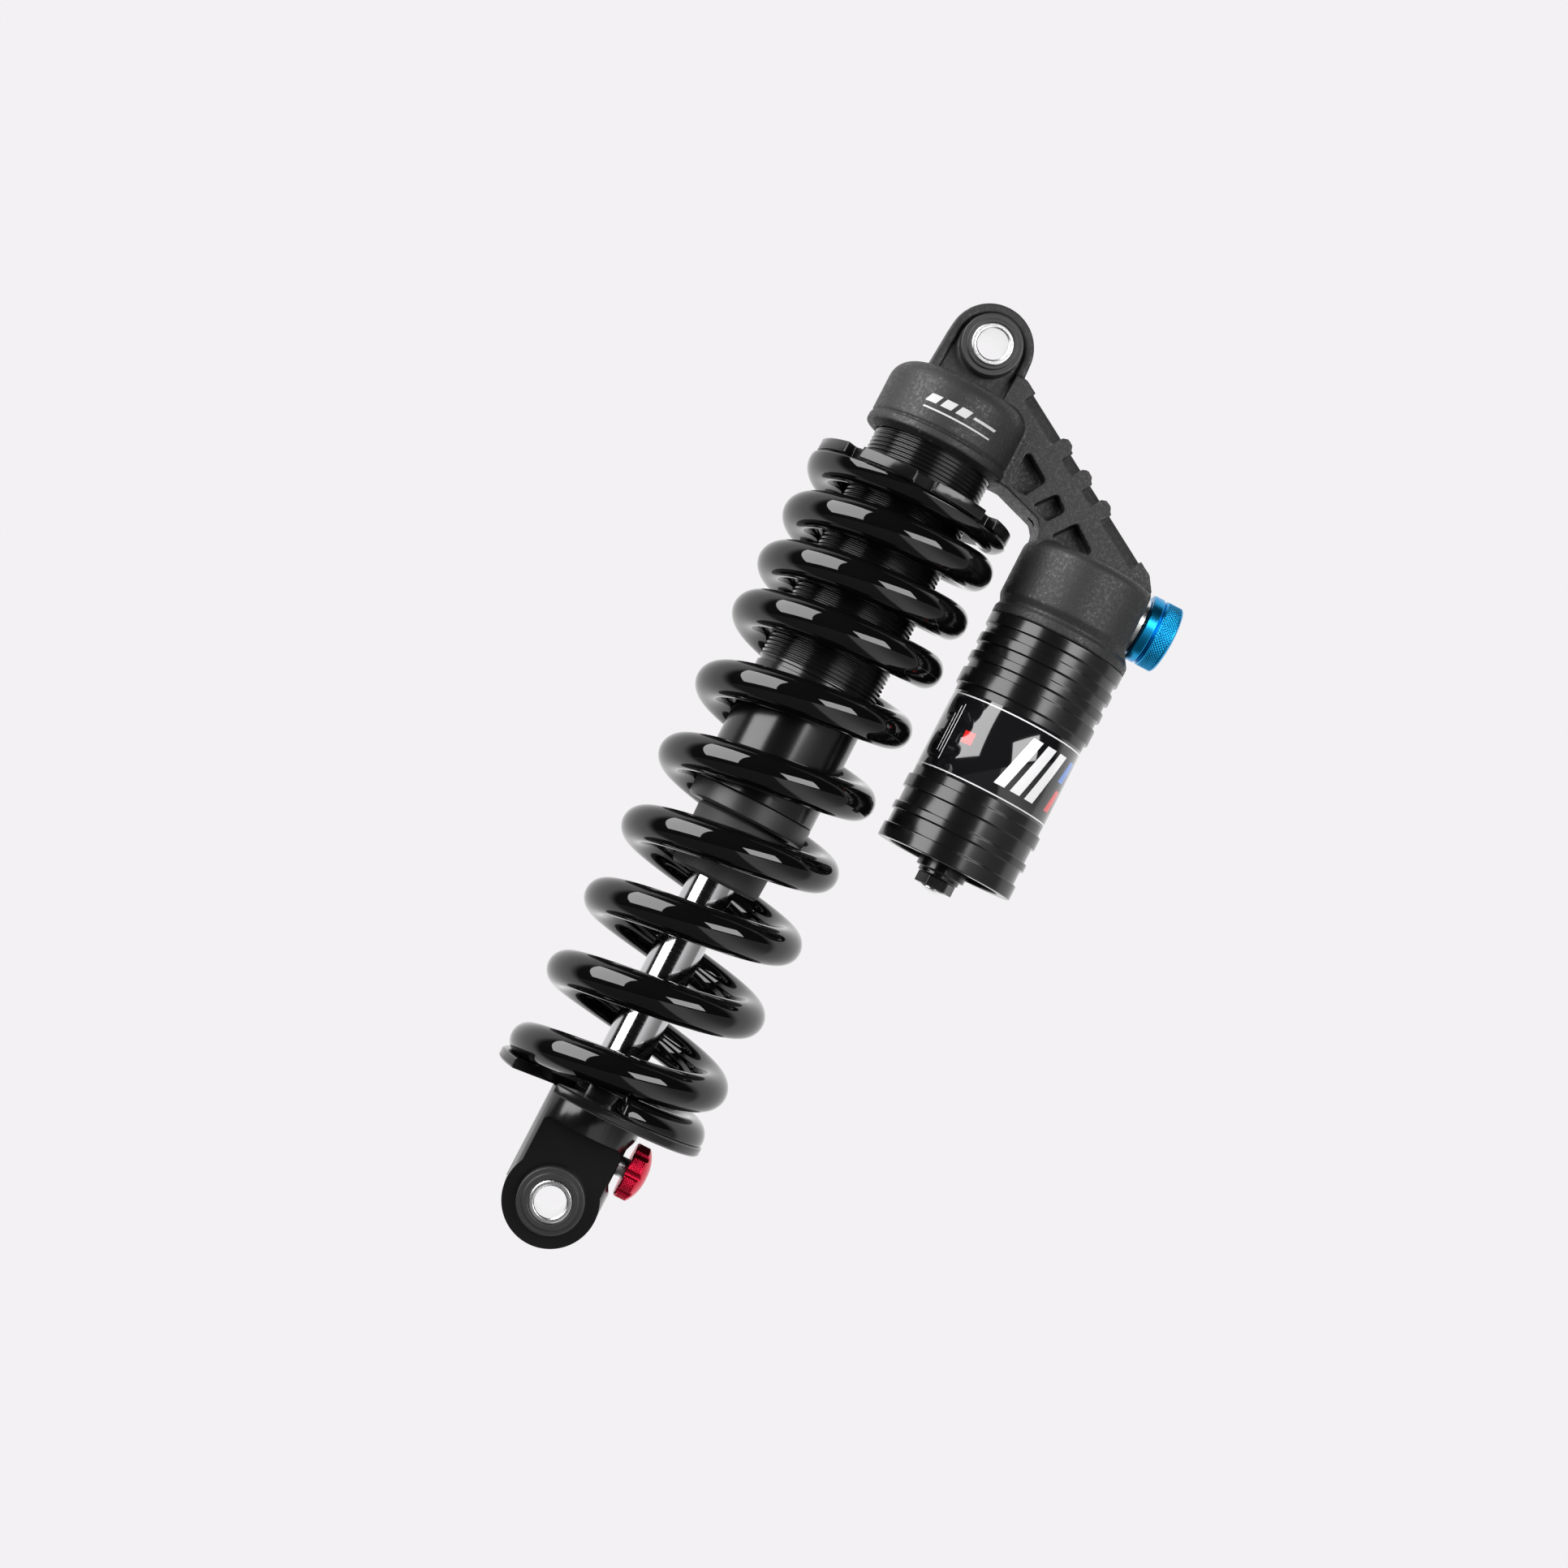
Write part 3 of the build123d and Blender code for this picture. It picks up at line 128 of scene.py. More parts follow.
def half_section(node, axis, centre, cut_angle=CLEAR_CUT):
    """The outlines (radius, height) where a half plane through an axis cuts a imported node."""
    side, across = square_to(axis)
    radial = side * cos(cut_angle) + across * sin(cut_angle)
    mesh = NODES[node].data
    mesh.calc_loop_triangles()
    points = np.array([vertex.co for vertex in mesh.vertices]) - np.array(centre)
    off_plane = points @ np.array(axis.cross(radial))
    flat = np.stack([points @ np.array(radial), points @ np.array(axis)], axis=1)
    links = {}
    for triangle in mesh.loop_triangles:
        corners = list(triangle.vertices)
        ends = []
        for a, b in zip(corners, corners[1:] + corners[:1]):
            if (off_plane[a] < 0) != (off_plane[b] < 0):
                share = off_plane[a] / (off_plane[a] - off_plane[b])
                ends.append(flat[a] + share * (flat[b] - flat[a]))
        if len(ends) < 2 or max(ends[0][0], ends[1][0]) <= 0:
            continue
        inner, outer = sorted(ends, key=lambda end: end[0])
        if inner[0] < 0:
            inner = inner + (outer - inner) * (-inner[0] / (outer[0] - inner[0]))
        keys = [tuple(np.round(end * GRID).astype(int)) for end in (inner, outer)]
        if keys[0] != keys[1]:
            links.setdefault(keys[0], []).append(keys[1])
            links.setdefault(keys[1], []).append(keys[0])
    outlines = []
    left = set(links)
    while left:
        loose_ends = [key for key in left if len(links[key]) == 1]
        key = min(loose_ends or left)
        walk = []
        while key is not None:
            left.discard(key)
            walk.append(Vector(key) / GRID)
            key = next((other for other in links[key] if other in left), None)
        outlines.append((straightened(walk, not loose_ends), not loose_ends))
    return outlines


def turn_at(before, corner, after):
    """How far an outline turns at a corner, in radians."""
    a, b = corner - before, after - corner
    return 0 if min(a.length, b.length) < HAIR / 2 else a.angle(b)


def straightened(outline, closed):
    """An outline without the points that lie on a straight run."""
    kept = list(outline)
    i = 0 if closed else 1
    while i < len(kept) - (0 if closed else 1) and len(kept) > 3:
        if turn_at(kept[i - 1], kept[i], kept[(i + 1) % len(kept)]) < STRAIGHT:
            kept.pop(i)
        else:
            i += 1
    return kept


def rounded(outline, closed, radius, arc_steps=4):
    """An outline whose sharp corners are arcs, each between two points that keep its flats flat."""
    most_of_side, guard = 0.32, 0.4
    made = []
    count = len(outline)
    for i, corner in enumerate(outline):
        before, after = outline[i - 1], outline[(i + 1) % count]
        turn = turn_at(before, corner, after)
        if (not closed and i in (0, count - 1)) or turn < SHARP:
            made.append(corner)
            continue
        back, on = before - corner, after - corner
        cut = min(radius * tan(turn / 2), most_of_side * back.length, most_of_side * on.length)
        start, end = corner + back.normalized() * cut, corner + on.normalized() * cut
        made.append(start + back.normalized() * cut * guard)
        for step in range(arc_steps + 1):
            t = step / arc_steps
            made.append(start * (1 - t) ** 2 + corner * 2 * t * (1 - t) + end * t**2)
        made.append(end + on.normalized() * cut * guard)
    return made


def ring_points(profile_point, axis, centre, angles, radii=None):
    """One ring of a turned piece, at every angle; radii may vary round the ring."""
    side, across = square_to(axis)
    radius, height = profile_point
    radii = np.full(len(angles), radius) if radii is None else radii
    if radius < HAIR:
        return np.array([centre + axis * height])
    spokes = np.outer(np.cos(angles), side) + np.outer(np.sin(angles), across)
    return np.array(centre + axis * height) + spokes * radii[:, None]


def skin(name, rings, closed_profile, values=None):
    """A mesh over rings of points. Each ring closes on itself, and a ring of one point is a pole."""
    starts = np.cumsum([0] + [len(ring) for ring in rings])
    faces = []
    pairs = list(zip(range(len(rings) - 1), range(1, len(rings))))
    if closed_profile:
        pairs.append((len(rings) - 1, 0))
    for a, b in pairs:
        count = max(len(rings[a]), len(rings[b]))
        if count == 1:
            continue
        here = np.arange(count)
        there = (here + 1) % count
        low = [starts[a] + here, starts[a] + there] if len(rings[a]) > 1 else [np.full(count, starts[a])]
        high = [starts[b] + there, starts[b] + here] if len(rings[b]) > 1 else [np.full(count, starts[b])]
        faces.extend(np.stack(low + high, axis=1).tolist())
    mesh = bpy.data.meshes.new(name)
    mesh.from_pydata(np.concatenate(rings).tolist(), [], faces)
    for label, numbers in (values or {}).items():
        mesh.attributes.new(label, "FLOAT", "POINT").data.foreach_set("value", numbers.astype(np.float32))
    return cleaned(mesh)


def cleaned(mesh):
    """Joins doubled points, drops empty faces and turns every face outwards."""
    work = bmesh.new()
    work.from_mesh(mesh)
    bmesh.ops.remove_doubles(work, verts=work.verts, dist=HAIR)
    bmesh.ops.dissolve_degenerate(work, edges=work.edges, dist=HAIR)
    bmesh.ops.recalc_face_normals(work, faces=work.faces)
    work.to_mesh(mesh)
    work.free()
    mesh.shade_smooth()
    return mesh


def joined(name, meshes):
    """One mesh made of several."""
    work = bmesh.new()
    for mesh in meshes:
        work.from_mesh(mesh)
    whole = bpy.data.meshes.new(name)
    work.to_mesh(whole)
    work.free()
    whole.shade_smooth()
    return whole


def even_angles(count):
    """Angles that share out a full turn."""
    return np.linspace(0, 2 * pi, count, endpoint=False)


def turned(node, axis, centre, radius, segments=128):
    """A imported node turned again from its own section, with rounded corners."""
    shells = []
    for outline, closed in half_section(node, axis, centre):
        profile = rounded(outline, closed, radius)
        rings = [ring_points(point, axis, centre, even_angles(segments)) for point in profile]
        shells.append(skin(node, rings, closed))
    return joined(f"{node}_mesh", shells)


def on_holder(node, flat_within=0.0):
    """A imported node's mesh, its doubled points joined and its flats made whole, on an object to modify."""
    work = bmesh.new()
    work.from_mesh(NODES[node].data)
    bmesh.ops.remove_doubles(work, verts=work.verts, dist=10 * HAIR)
    if flat_within:
        bmesh.ops.dissolve_limit(work, verts=work.verts, edges=work.edges, angle_limit=flat_within)
    mesh = bpy.data.meshes.new(f"{node}_mesh")
    work.to_mesh(mesh)
    work.free()
    holder = bpy.data.objects.new(f"{node}_holder", mesh)
    bpy.context.scene.collection.objects.link(holder)
    return holder


def softened(node, width):
    """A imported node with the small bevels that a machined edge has."""
    holder = on_holder(node, flat_within=radians(0.6))
    bevel = holder.modifiers.new("bevel", "BEVEL")
    bevel.width = width
    bevel.segments = 3
    bevel.limit_method = "ANGLE"
    bevel.angle_limit = radians(28)
    bevel.miter_outer = "MITER_ARC"
    bevel.harden_normals = True
    return applied(holder)


def cast_skin(node, voxel, smoothing):
    """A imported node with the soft, melted-together edges of a casting."""
    holder = on_holder(node)
    remesh = holder.modifiers.new("remesh", "REMESH")
    remesh.mode = "VOXEL"
    remesh.voxel_size = voxel
    remesh.use_smooth_shade = True
    smooth = holder.modifiers.new("smooth", "SMOOTH")
    smooth.factor = 0.5
    smooth.iterations = smoothing
    return applied(holder)


def applied(holder):
    """The mesh that an object's modifiers make; the object itself is thrown away."""
    graph = bpy.context.evaluated_depsgraph_get()
    mesh = bpy.data.meshes.new_from_object(holder.evaluated_get(graph), depsgraph=graph)
    bpy.data.objects.remove(holder)
    return mesh


def put(mesh, node):
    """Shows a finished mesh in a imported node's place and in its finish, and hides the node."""
    piece = bpy.data.objects.new(f"{node}_shell", mesh)
    bpy.context.scene.collection.objects.link(piece)
    mesh.materials.clear()
    mesh.materials.append(FINISHES[SLOTS[node]])
    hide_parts(node)
    return piece


def put_on_body(mesh, node):
    """The same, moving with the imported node's body."""
    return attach(put(mesh, node), NODES[node]["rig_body"])


# ================================================================ shader groups
def shader_group(name, inputs, outputs):
    """A node group with named sockets; returns it with its input and output nodes."""
    tree = bpy.data.node_groups.new(name, "ShaderNodeTree")
    for label, kind, value in inputs:
        socket = tree.interface.new_socket(label, in_out="INPUT", socket_type=f"NodeSocket{kind}")
        if value is not None:
            socket.default_value = value
    for label, kind in outputs:
        tree.interface.new_socket(label, in_out="OUTPUT", socket_type=f"NodeSocket{kind}")
    return tree, tree.nodes.new("NodeGroupInput"), tree.nodes.new("NodeGroupOutput")


def add(tree, kind, settings=(), **values):
    """Adds a node. A value is a number, a colour or another node's socket, by input name or number."""
    made = tree.nodes.new(kind)
    for key, value in dict(settings).items():
        setattr(made, key, value)
    for key, value in values.items():
        name = key.replace("_", " ")
        socket = made.inputs[int(key[1:])] if key[0] == "i" and key[1:].isdigit() else made.inputs[name]
        if isinstance(value, bpy.types.NodeSocket):
            tree.links.new(value, socket)
        else:
            socket.default_value = value
    return made


def maths(tree, operation, a, b=0.0, clamp=False):
    """A sum of one or two numbers or sockets."""
    node = add(tree, "ShaderNodeMath", {"operation": operation, "use_clamp": clamp}, i0=a, i1=b)
    return node.outputs[0]


def vector_maths(tree, operation, a, b=(0.0, 0.0, 0.0), output="Value"):
    """A sum of a vector socket and a fixed vector; a length or a dot product leaves by Value."""
    return add(tree, "ShaderNodeVectorMath", {"operation": operation}, i0=a, i1=tuple(b)).outputs[output]


def step_between(tree, value, low, high, out_low=0.0, out_high=1.0, kind="SMOOTHSTEP"):
    """One value below a range and another above it, eased between."""
    node = add(
        tree,
        "ShaderNodeMapRange",
        {"interpolation_type": kind},
        Value=value,
        From_Min=low,
        From_Max=high,
        To_Min=out_low,
        To_Max=out_high,
    )
    return node.outputs["Result"]


def mixed(tree, share, a, b):
    """A colour between two colours."""
    node = add(tree, "ShaderNodeMix", {"data_type": "RGBA"}, i0=share, i6=a, i7=b)
    return node.outputs[2]


def noise(tree, vector, scale, detail=2.0, roughness=0.5):
    """Cloudy noise, from 0 to 1."""
    node = add(
        tree,
        "ShaderNodeTexNoise",
        Vector=vector,
        Scale=scale,
        Detail=detail,
        Roughness=roughness,
    )
    return node.outputs["Fac"]


def cast_grain_group():
    """Blasted and painted casting: fine pits, soft blotches, and a sheen that breaks up with them."""
    tree, start, end = shader_group(
        "Cast grain",
        [
            ("Place", "Vector", None),
            ("Grain per metre", "Float", 2400.0),
            ("Dark", "Color", (0.007, 0.007, 0.007, 1)),
            ("Light", "Color", (0.022, 0.022, 0.022, 1)),
            ("Low roughness", "Float", 0.36),
            ("High roughness", "Float", 0.56),
        ],
        [("Colour", "Color"), ("Roughness", "Float"), ("Height", "Float")],
    )
    place, scale = start.outputs["Place"], start.outputs["Grain per metre"]
    fine = noise(tree, place, scale, 3.0, 0.6)
    coarse = noise(tree, place, maths(tree, "MULTIPLY", scale, 0.42), 2.0)
    blotch = noise(tree, place, maths(tree, "MULTIPLY", scale, 0.05), 2.0)
    height = maths(tree, "ADD", maths(tree, "MULTIPLY", fine, 0.55), maths(tree, "MULTIPLY", coarse, 0.45))
    speckle = step_between(tree, height, 0.44, 0.64)
    shade = maths(tree, "ADD", maths(tree, "MULTIPLY", speckle, 0.75), maths(tree, "MULTIPLY", blotch, 0.25))
    colour = mixed(tree, shade, start.outputs["Dark"], start.outputs["Light"])
    rough_low, rough_high = start.outputs["Low roughness"], start.outputs["High roughness"]
    rough = step_between(tree, shade, 0.2, 0.9, rough_high, rough_low)
    for label, socket in (("Colour", colour), ("Roughness", rough), ("Height", height)):
        tree.links.new(socket, end.inputs[label])
    return tree


def film_gloss_group():
    """Smooth hard film: faint haze, rare hairline marks and a trace of orange peel."""
    tree, start, end = shader_group(
        "Film gloss",
        [
            ("Place", "Vector", None),
            ("Roughness", "Float", 0.1),
            ("Haze", "Float", 0.05),
            ("Peel per metre", "Float", 700.0),
        ],
        [("Roughness", "Float"), ("Height", "Float"), ("Marks", "Float")],
    )
    place = start.outputs["Place"]
    haze = maths(tree, "MULTIPLY", noise(tree, place, 60.0, 3.0, 0.6), start.outputs["Haze"])
    drawn_out = add(tree, "ShaderNodeMapping", Vector=place, Scale=(900.0, 900.0, 60.0)).outputs[0]
    marks = step_between(tree, noise(tree, drawn_out, 4.0, 2.0, 0.7), 0.68, 0.78)
    rough = maths(tree, "ADD", haze, start.outputs["Roughness"])
    worn = maths(tree, "ADD", rough, maths(tree, "MULTIPLY", marks, start.outputs["Haze"]))
    peel = noise(tree, place, start.outputs["Peel per metre"], 1.0)
    for label, socket in (("Roughness", worn), ("Height", peel), ("Marks", marks)):
        tree.links.new(socket, end.inputs[label])
    return tree


def turned_lines_group():
    """The fine rings that a lathe tool leaves, from the distance to a centre or along an axis."""
    tree, start, end = shader_group(
        "Turned lines",
        [("Distance", "Float", 0.0), ("Lines per metre", "Float", 9000.0), ("Roughness", "Float", 0.2)],
        [("Roughness", "Float"), ("Height", "Float"), ("Tone", "Float")],
    )
    track = maths(tree, "MULTIPLY", start.outputs["Distance"], start.outputs["Lines per metre"])
    lines = add(tree, "ShaderNodeTexNoise", {"noise_dimensions": "1D"}, W=track, Scale=1.0, Detail=3.0)
    fac = lines.outputs["Fac"]
    rough = maths(tree, "MULTIPLY", start.outputs["Roughness"], step_between(tree, fac, 0.3, 0.7, 0.8, 1.25))
    tone = step_between(tree, fac, 0.25, 0.75, 0.86, 1.0)
    for label, socket in (("Roughness", rough), ("Height", fac), ("Tone", tone)):
        tree.links.new(socket, end.inputs[label])
    return tree


def rim_highlight_group():
    """Painted edge highlight: where an edge stands proud, by pointiness, a mask that lifts the paint's colour
    brighter there, broken up by noise.
    """
    tree, start, end = shader_group(
        "Painted rim highlight",
        [("Place", "Vector", None), ("From", "Float", 0.53), ("To", "Float", 0.62)],
        [("Mask", "Float")],
    )
    point = add(tree, "ShaderNodeNewGeometry").outputs["Pointiness"]
    edge = step_between(tree, point, start.outputs["From"], start.outputs["To"], kind="LINEAR")
    broken = step_between(tree, noise(tree, start.outputs["Place"], 900.0, 3.0), 0.3, 0.6, 0.35, 1.0)
    tree.links.new(maths(tree, "MULTIPLY", edge, broken, clamp=True), end.inputs["Mask"])
    return tree


def unrolled_wall_group():
    """Unrolls a round wall: distance along its girth from the front, and height."""
    tree, start, end = shader_group(
        "Unrolled wall",
        [("Place", "Vector", None), ("Axis X", "Float", 0.0), ("Radius", "Float", 0.018)],
        [("Along", "Float"), ("Height", "Float"), ("Front", "Float")],
    )
    parts = add(tree, "ShaderNodeSeparateXYZ", Vector=start.outputs["Place"])
    x = maths(tree, "SUBTRACT", parts.outputs["X"], start.outputs["Axis X"])
    front = maths(tree, "MULTIPLY", parts.outputs["Y"], -1.0)
    angle = maths(tree, "ARCTAN2", x, front)
    tree.links.new(maths(tree, "MULTIPLY", angle, start.outputs["Radius"]), end.inputs["Along"])
    tree.links.new(parts.outputs["Z"], end.inputs["Height"])
    tree.links.new(front, end.inputs["Front"])
    return tree


def printed_bar_group():
    """One printed bar on an unrolled wall: a slanted rectangle with crisp edges."""
    tree, start, end = shader_group(
        "Printed bar",
        [
            ("Along", "Float", 0.0),
            ("Height", "Float", 0.0),
            ("Middle along", "Float", 0.0),
            ("Middle height", "Float", 0.0),
            ("Half length", "Float", 0.001),
            ("Half width", "Float", 0.001),
            ("Slant", "Float", 0.0),
        ],
        [("Ink", "Float")],
    )
    across = maths(tree, "SUBTRACT", start.outputs["Height"], start.outputs["Middle height"])
    lean = maths(tree, "MULTIPLY", across, start.outputs["Slant"])
    along = maths(tree, "SUBTRACT", start.outputs["Along"], start.outputs["Middle along"])
    straight = maths(tree, "ABSOLUTE", maths(tree, "SUBTRACT", along, lean))
    spare_length = maths(tree, "SUBTRACT", start.outputs["Half length"], straight)
    spare_width = maths(tree, "SUBTRACT", start.outputs["Half width"], maths(tree, "ABSOLUTE", across))
    inside = maths(tree, "MINIMUM", spare_length, spare_width)
    soft_edge = 0.03 * MM
    tree.links.new(step_between(tree, inside, -soft_edge, soft_edge, kind="LINEAR"), end.inputs["Ink"])
    return tree


GROUPS = {
    "Cast grain": cast_grain_group(),
    "Film gloss": film_gloss_group(),
    "Turned lines": turned_lines_group(),
    "Painted rim highlight": rim_highlight_group(),
    "Unrolled wall": unrolled_wall_group(),
    "Printed bar": printed_bar_group(),
}


# ================================================================ finishes
def new_finish(name, **sockets):
    """A material with one Principled shader; returns it, its tree, the shader and object coordinates."""
    material = bpy.data.materials.new(name)
    material.use_nodes = True
    tree = material.node_tree
    shader = tree.nodes["Principled BSDF"]
    for key, value in sockets.items():
        shader.inputs[key.replace("_", " ")].default_value = value
    place = add(tree, "ShaderNodeTexCoord").outputs["Object"]
    return material, tree, shader, place


def group_node(tree, name, **values):
    """A node that uses one of the shared groups."""
    return add(tree, "ShaderNodeGroup", {"node_tree": GROUPS[name]}, **values)


def bump_from(tree, shader, height, depth):
    """Relief of a height from 0 to 1, as deep as depth in metres."""
    bump = add(tree, "ShaderNodeBump", Height=height, Distance=depth)
    tree.links.new(bump.outputs["Normal"], shader.inputs["Normal"])


def printed(tree, wall, bars):
    """The ink of several bars (along, height, half length, half width, slant), in metres."""
    ink = None
    for along, height, half_length, half_width, slant in bars:
        bar = group_node(
            tree,
            "Printed bar",
            Along=wall.outputs["Along"],
            Height=wall.outputs["Height"],
            Middle_along=along,
            Middle_height=height,
            Half_length=half_length,
            Half_width=half_width,
            Slant=slant,
        ).outputs["Ink"]
        ink = bar if ink is None else maths(tree, "MAXIMUM", ink, bar)
    return ink


def cast_black():
    """Black paint over sand-cast metal, with a painted highlight on its proud edges and a plain etched mark
    on the round cap.
    """
    material, tree, shader, place = new_finish("cast_black", Specular_IOR_Level=0.45)
    grain = group_node(tree, "Cast grain", Place=place)
    # Painted highlight: proud edges are mixed towards light grey by the rim mask.
    painted_rim = maths(tree, "MULTIPLY", group_node(tree, "Painted rim highlight", Place=place).outputs["Mask"], 0.6)
    paint = mixed(tree, painted_rim, grain.outputs["Colour"], (0.11, 0.11, 0.11, 1))
    cap_radius, mark_z, slant = 19.2 * MM, -20.5 * MM, 0.5
    wall = group_node(tree, "Unrolled wall", Place=place, Axis_X=0.0, Radius=cap_radius)
    bars = [(x * MM, mark_z, 1.5 * MM, 1.1 * MM, slant) for x in (-7.2, -3.0, 1.2)]
    bars.append((7.4 * MM, mark_z, 3.4 * MM, 0.35 * MM, slant))
    bars.append((0.6 * MM, mark_z - 2.6 * MM, 9.6 * MM, 0.22 * MM, 0.0))
    on_front = step_between(tree, wall.outputs["Front"], 12 * MM, 13 * MM)
    ink = maths(tree, "MULTIPLY", printed(tree, wall, bars), on_front)
    tree.links.new(mixed(tree, ink, paint, (0.5, 0.5, 0.5, 1)), shader.inputs["Base Color"])
    tree.links.new(grain.outputs["Roughness"], shader.inputs["Roughness"])
    bump_from(tree, shader, grain.outputs["Height"], 0.12 * MM)
    return material


def film(name, colour, roughness, haze, peel, peel_depth):
    """A smooth coated or anodised finish; peel is its waves per metre and peel_depth their depth in mm."""
    material, tree, shader, place = new_finish(name)
    gloss = group_node(tree, "Film gloss", Place=place, Roughness=roughness, Haze=haze, Peel_per_metre=peel)
    dark = (*[0.7 * value for value in colour], 1)
    scuffed = (*[1.4 * value + 0.004 for value in colour], 1)
    marked = mixed(tree, gloss.outputs["Marks"], (*colour, 1), scuffed)
    toned = mixed(tree, noise(tree, place, 90.0), marked, dark)
    tree.links.new(toned, shader.inputs["Base Color"])
    tree.links.new(gloss.outputs["Roughness"], shader.inputs["Roughness"])
    bump_from(tree, shader, gloss.outputs["Height"], peel_depth * MM)
    return material


def machined(name, colour, roughness, centre, axis, lines=9000.0, depth=0.004):
    """Bare or coloured metal with turned rings round an axis; lines are per metre and depth is in mm."""
    material, tree, shader, place = new_finish(name, Metallic=1.0)
    offset = vector_maths(tree, "SUBTRACT", place, centre, "Vector")
    along = vector_maths(tree, "DOT_PRODUCT", offset, axis)
    reach = vector_maths(tree, "LENGTH", offset)
    squares = [maths(tree, "MULTIPLY", value, value) for value in (reach, along)]
    distance = maths(tree, "ADD", maths(tree, "SQRT", maths(tree, "SUBTRACT", *squares)), along)
    rings = group_node(tree, "Turned lines", Distance=distance, Lines_per_metre=lines, Roughness=roughness)
    dull = (*[0.8 * value for value in colour], 1)
    toned = mixed(tree, rings.outputs["Tone"], dull, (*colour, 1))
    tree.links.new(toned, shader.inputs["Base Color"])
    tree.links.new(rings.outputs["Roughness"], shader.inputs["Roughness"])
    bump_from(tree, shader, rings.outputs["Height"], depth * MM)
    return material


def label_film():
    """Clear-coated black film with two white lines and plain coloured bars."""
    material, tree, shader, place = new_finish("label_film", Coat_Weight=0.6, Coat_Roughness=0.04)
    low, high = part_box("reservoir_label")
    middle_z, half_height = (low.z + high.z) / 2, (high.z - low.z) / 2
    film_radius, border_inset, slant = 18 * MM, 0.9 * MM, 0.28
    wall = group_node(tree, "Unrolled wall", Place=place, Axis_X=can_centre.x, Radius=film_radius)
    borders = [
        (0, middle_z + way * (half_height - border_inset), 60 * MM, 0.16 * MM, 0.0) for way in (-1, 1)
    ]
    small_rows = [
        (-17.2 * MM - row * 1.1 * MM, middle_z + offset * MM, 0.14 * MM, length * MM, 0.0)
        for row, (offset, length) in enumerate(((0.0, 7.6), (0.6, 6.4), (-0.5, 5.2)))
    ]
    stripes = [(x * MM, middle_z, 1.5 * MM, 7.2 * MM, slant) for x in (3.0, 7.6, 12.2)]
    blue_bar, red_bar = (
        (19.5 * MM, middle_z + way * 4.0 * MM, 1.5 * MM, 3.0 * MM, slant) for way in (1, -1)
    )
    red_spot = (-11.6 * MM, middle_z, 1.6 * MM, 1.6 * MM, 0.0)
    colour = (0.006, 0.006, 0.007, 1)
    for bars, ink in (
        (borders + small_rows + stripes, (0.85, 0.85, 0.86, 1)),
        ([blue_bar], (0.06, 0.2, 0.62, 1)),
        ([red_bar, red_spot], (0.7, 0.02, 0.02, 1)),
    ):
        colour = mixed(tree, printed(tree, wall, bars), colour, ink)
    gloss = group_node(tree, "Film gloss", Place=place, Roughness=0.06, Haze=0.03, Peel_per_metre=250.0)
    tree.links.new(colour, shader.inputs["Base Color"])
    tree.links.new(gloss.outputs["Roughness"], shader.inputs["Roughness"])
    bump_from(tree, shader, gloss.outputs["Height"], 0.003 * MM)
    return material


# film: name, colour, roughness, haze, peel waves per metre, their depth in mm
# machined: name, colour, roughness, a point on the axis, the axis, lines per metre, their depth in mm
FINISHES = {
    "cast_black": cast_black(),
    "bush_grey": film("bush_grey", (0.12, 0.12, 0.12), 0.5, 0.2, 2500.0, 0.02),
    "sleeve_silver": machined("sleeve_silver", (0.82, 0.82, 0.83), 0.24, upper_eye, ALONG_Y),
    "spacer_black": film("spacer_black", (0.022, 0.022, 0.022), 0.34, 0.12, 1800.0, 0.01),
    "anodised_black": film("anodised_black", (0.006, 0.006, 0.006), 0.16, 0.05, 900.0, 0.002),
    "satin_black": film("satin_black", (0.02, 0.02, 0.02), 0.33, 0.08, 1500.0, 0.004),
    "seal_rubber": film("seal_rubber", (0.012, 0.012, 0.012), 0.45, 0.15, 1500.0, 0.01),
    "foam_black": film("foam_black", (0.03, 0.03, 0.03), 0.5, 0.2, 2600.0, 0.03),
    "washer_black": film("washer_black", (0.012, 0.012, 0.012), 0.3, 0.1, 1200.0, 0.005),
    "spring_black": film("spring_black", (0.003, 0.003, 0.003), 0.03, 0.02, 330.0, 0.012),
    "shaft_chrome": machined("shaft_chrome", (0.5, 0.5, 0.51), 0.1, damper_centre, ALONG_Z, 1500.0, 0.0008),
    "piston_alloy": machined("piston_alloy", (0.7, 0.7, 0.72), 0.3, damper_centre, ALONG_Z),
    "bearing_band": film("bearing_band", (0.2, 0.13, 0.07), 0.5, 0.15, 2000.0, 0.01),
    "shim_steel": machined("shim_steel", (0.55, 0.55, 0.56), 0.3, damper_centre, ALONG_Z),
    "brass": machined("brass", (0.75, 0.55, 0.25), 0.25, can_centre, ALONG_Z),
    "anodised_red": machined(
        "anodised_red", (0.62, 0.012, 0.045), 0.3, rebound_centre, ALONG_X, 6000.0, 0.003
    ),
    "anodised_blue": machined(
        "anodised_blue", (0.012, 0.3, 0.62), 0.26, compression_centre, ALONG_X, 6000.0, 0.003
    ),
    "label_film": label_film(),
}
for node_name, node_object in NODES.items():
    node_object.data.materials.clear()
    node_object.data.materials.append(FINISHES[SLOTS[node_name]])


# ================================================================ eyes
for eye, centre in (("upper", upper_eye), ("lower", lower_eye)):
    put_on_body(turned(f"{eye}_eye_sleeve", ALONG_Y, centre, 0.3 * MM, 96), f"{eye}_eye_sleeve")
    put_on_body(turned(f"{eye}_eye_spacers", ALONG_Y, centre, 0.35 * MM, 96), f"{eye}_eye_spacers")

# ================================================================ head, tube and seal head
head_voxel = 0.32 * MM
put_on_body(cast_skin("head_casting", head_voxel, smoothing=4), "head_casting")


def thread_wave(turns):
    """Height of a rounded thread, 0 in its root and 1 on its crest, for a place counted in turns."""
    wave = 0.5 - 0.5 * np.cos(2 * pi * turns)
    return wave**2 * (3 - 2 * wave)


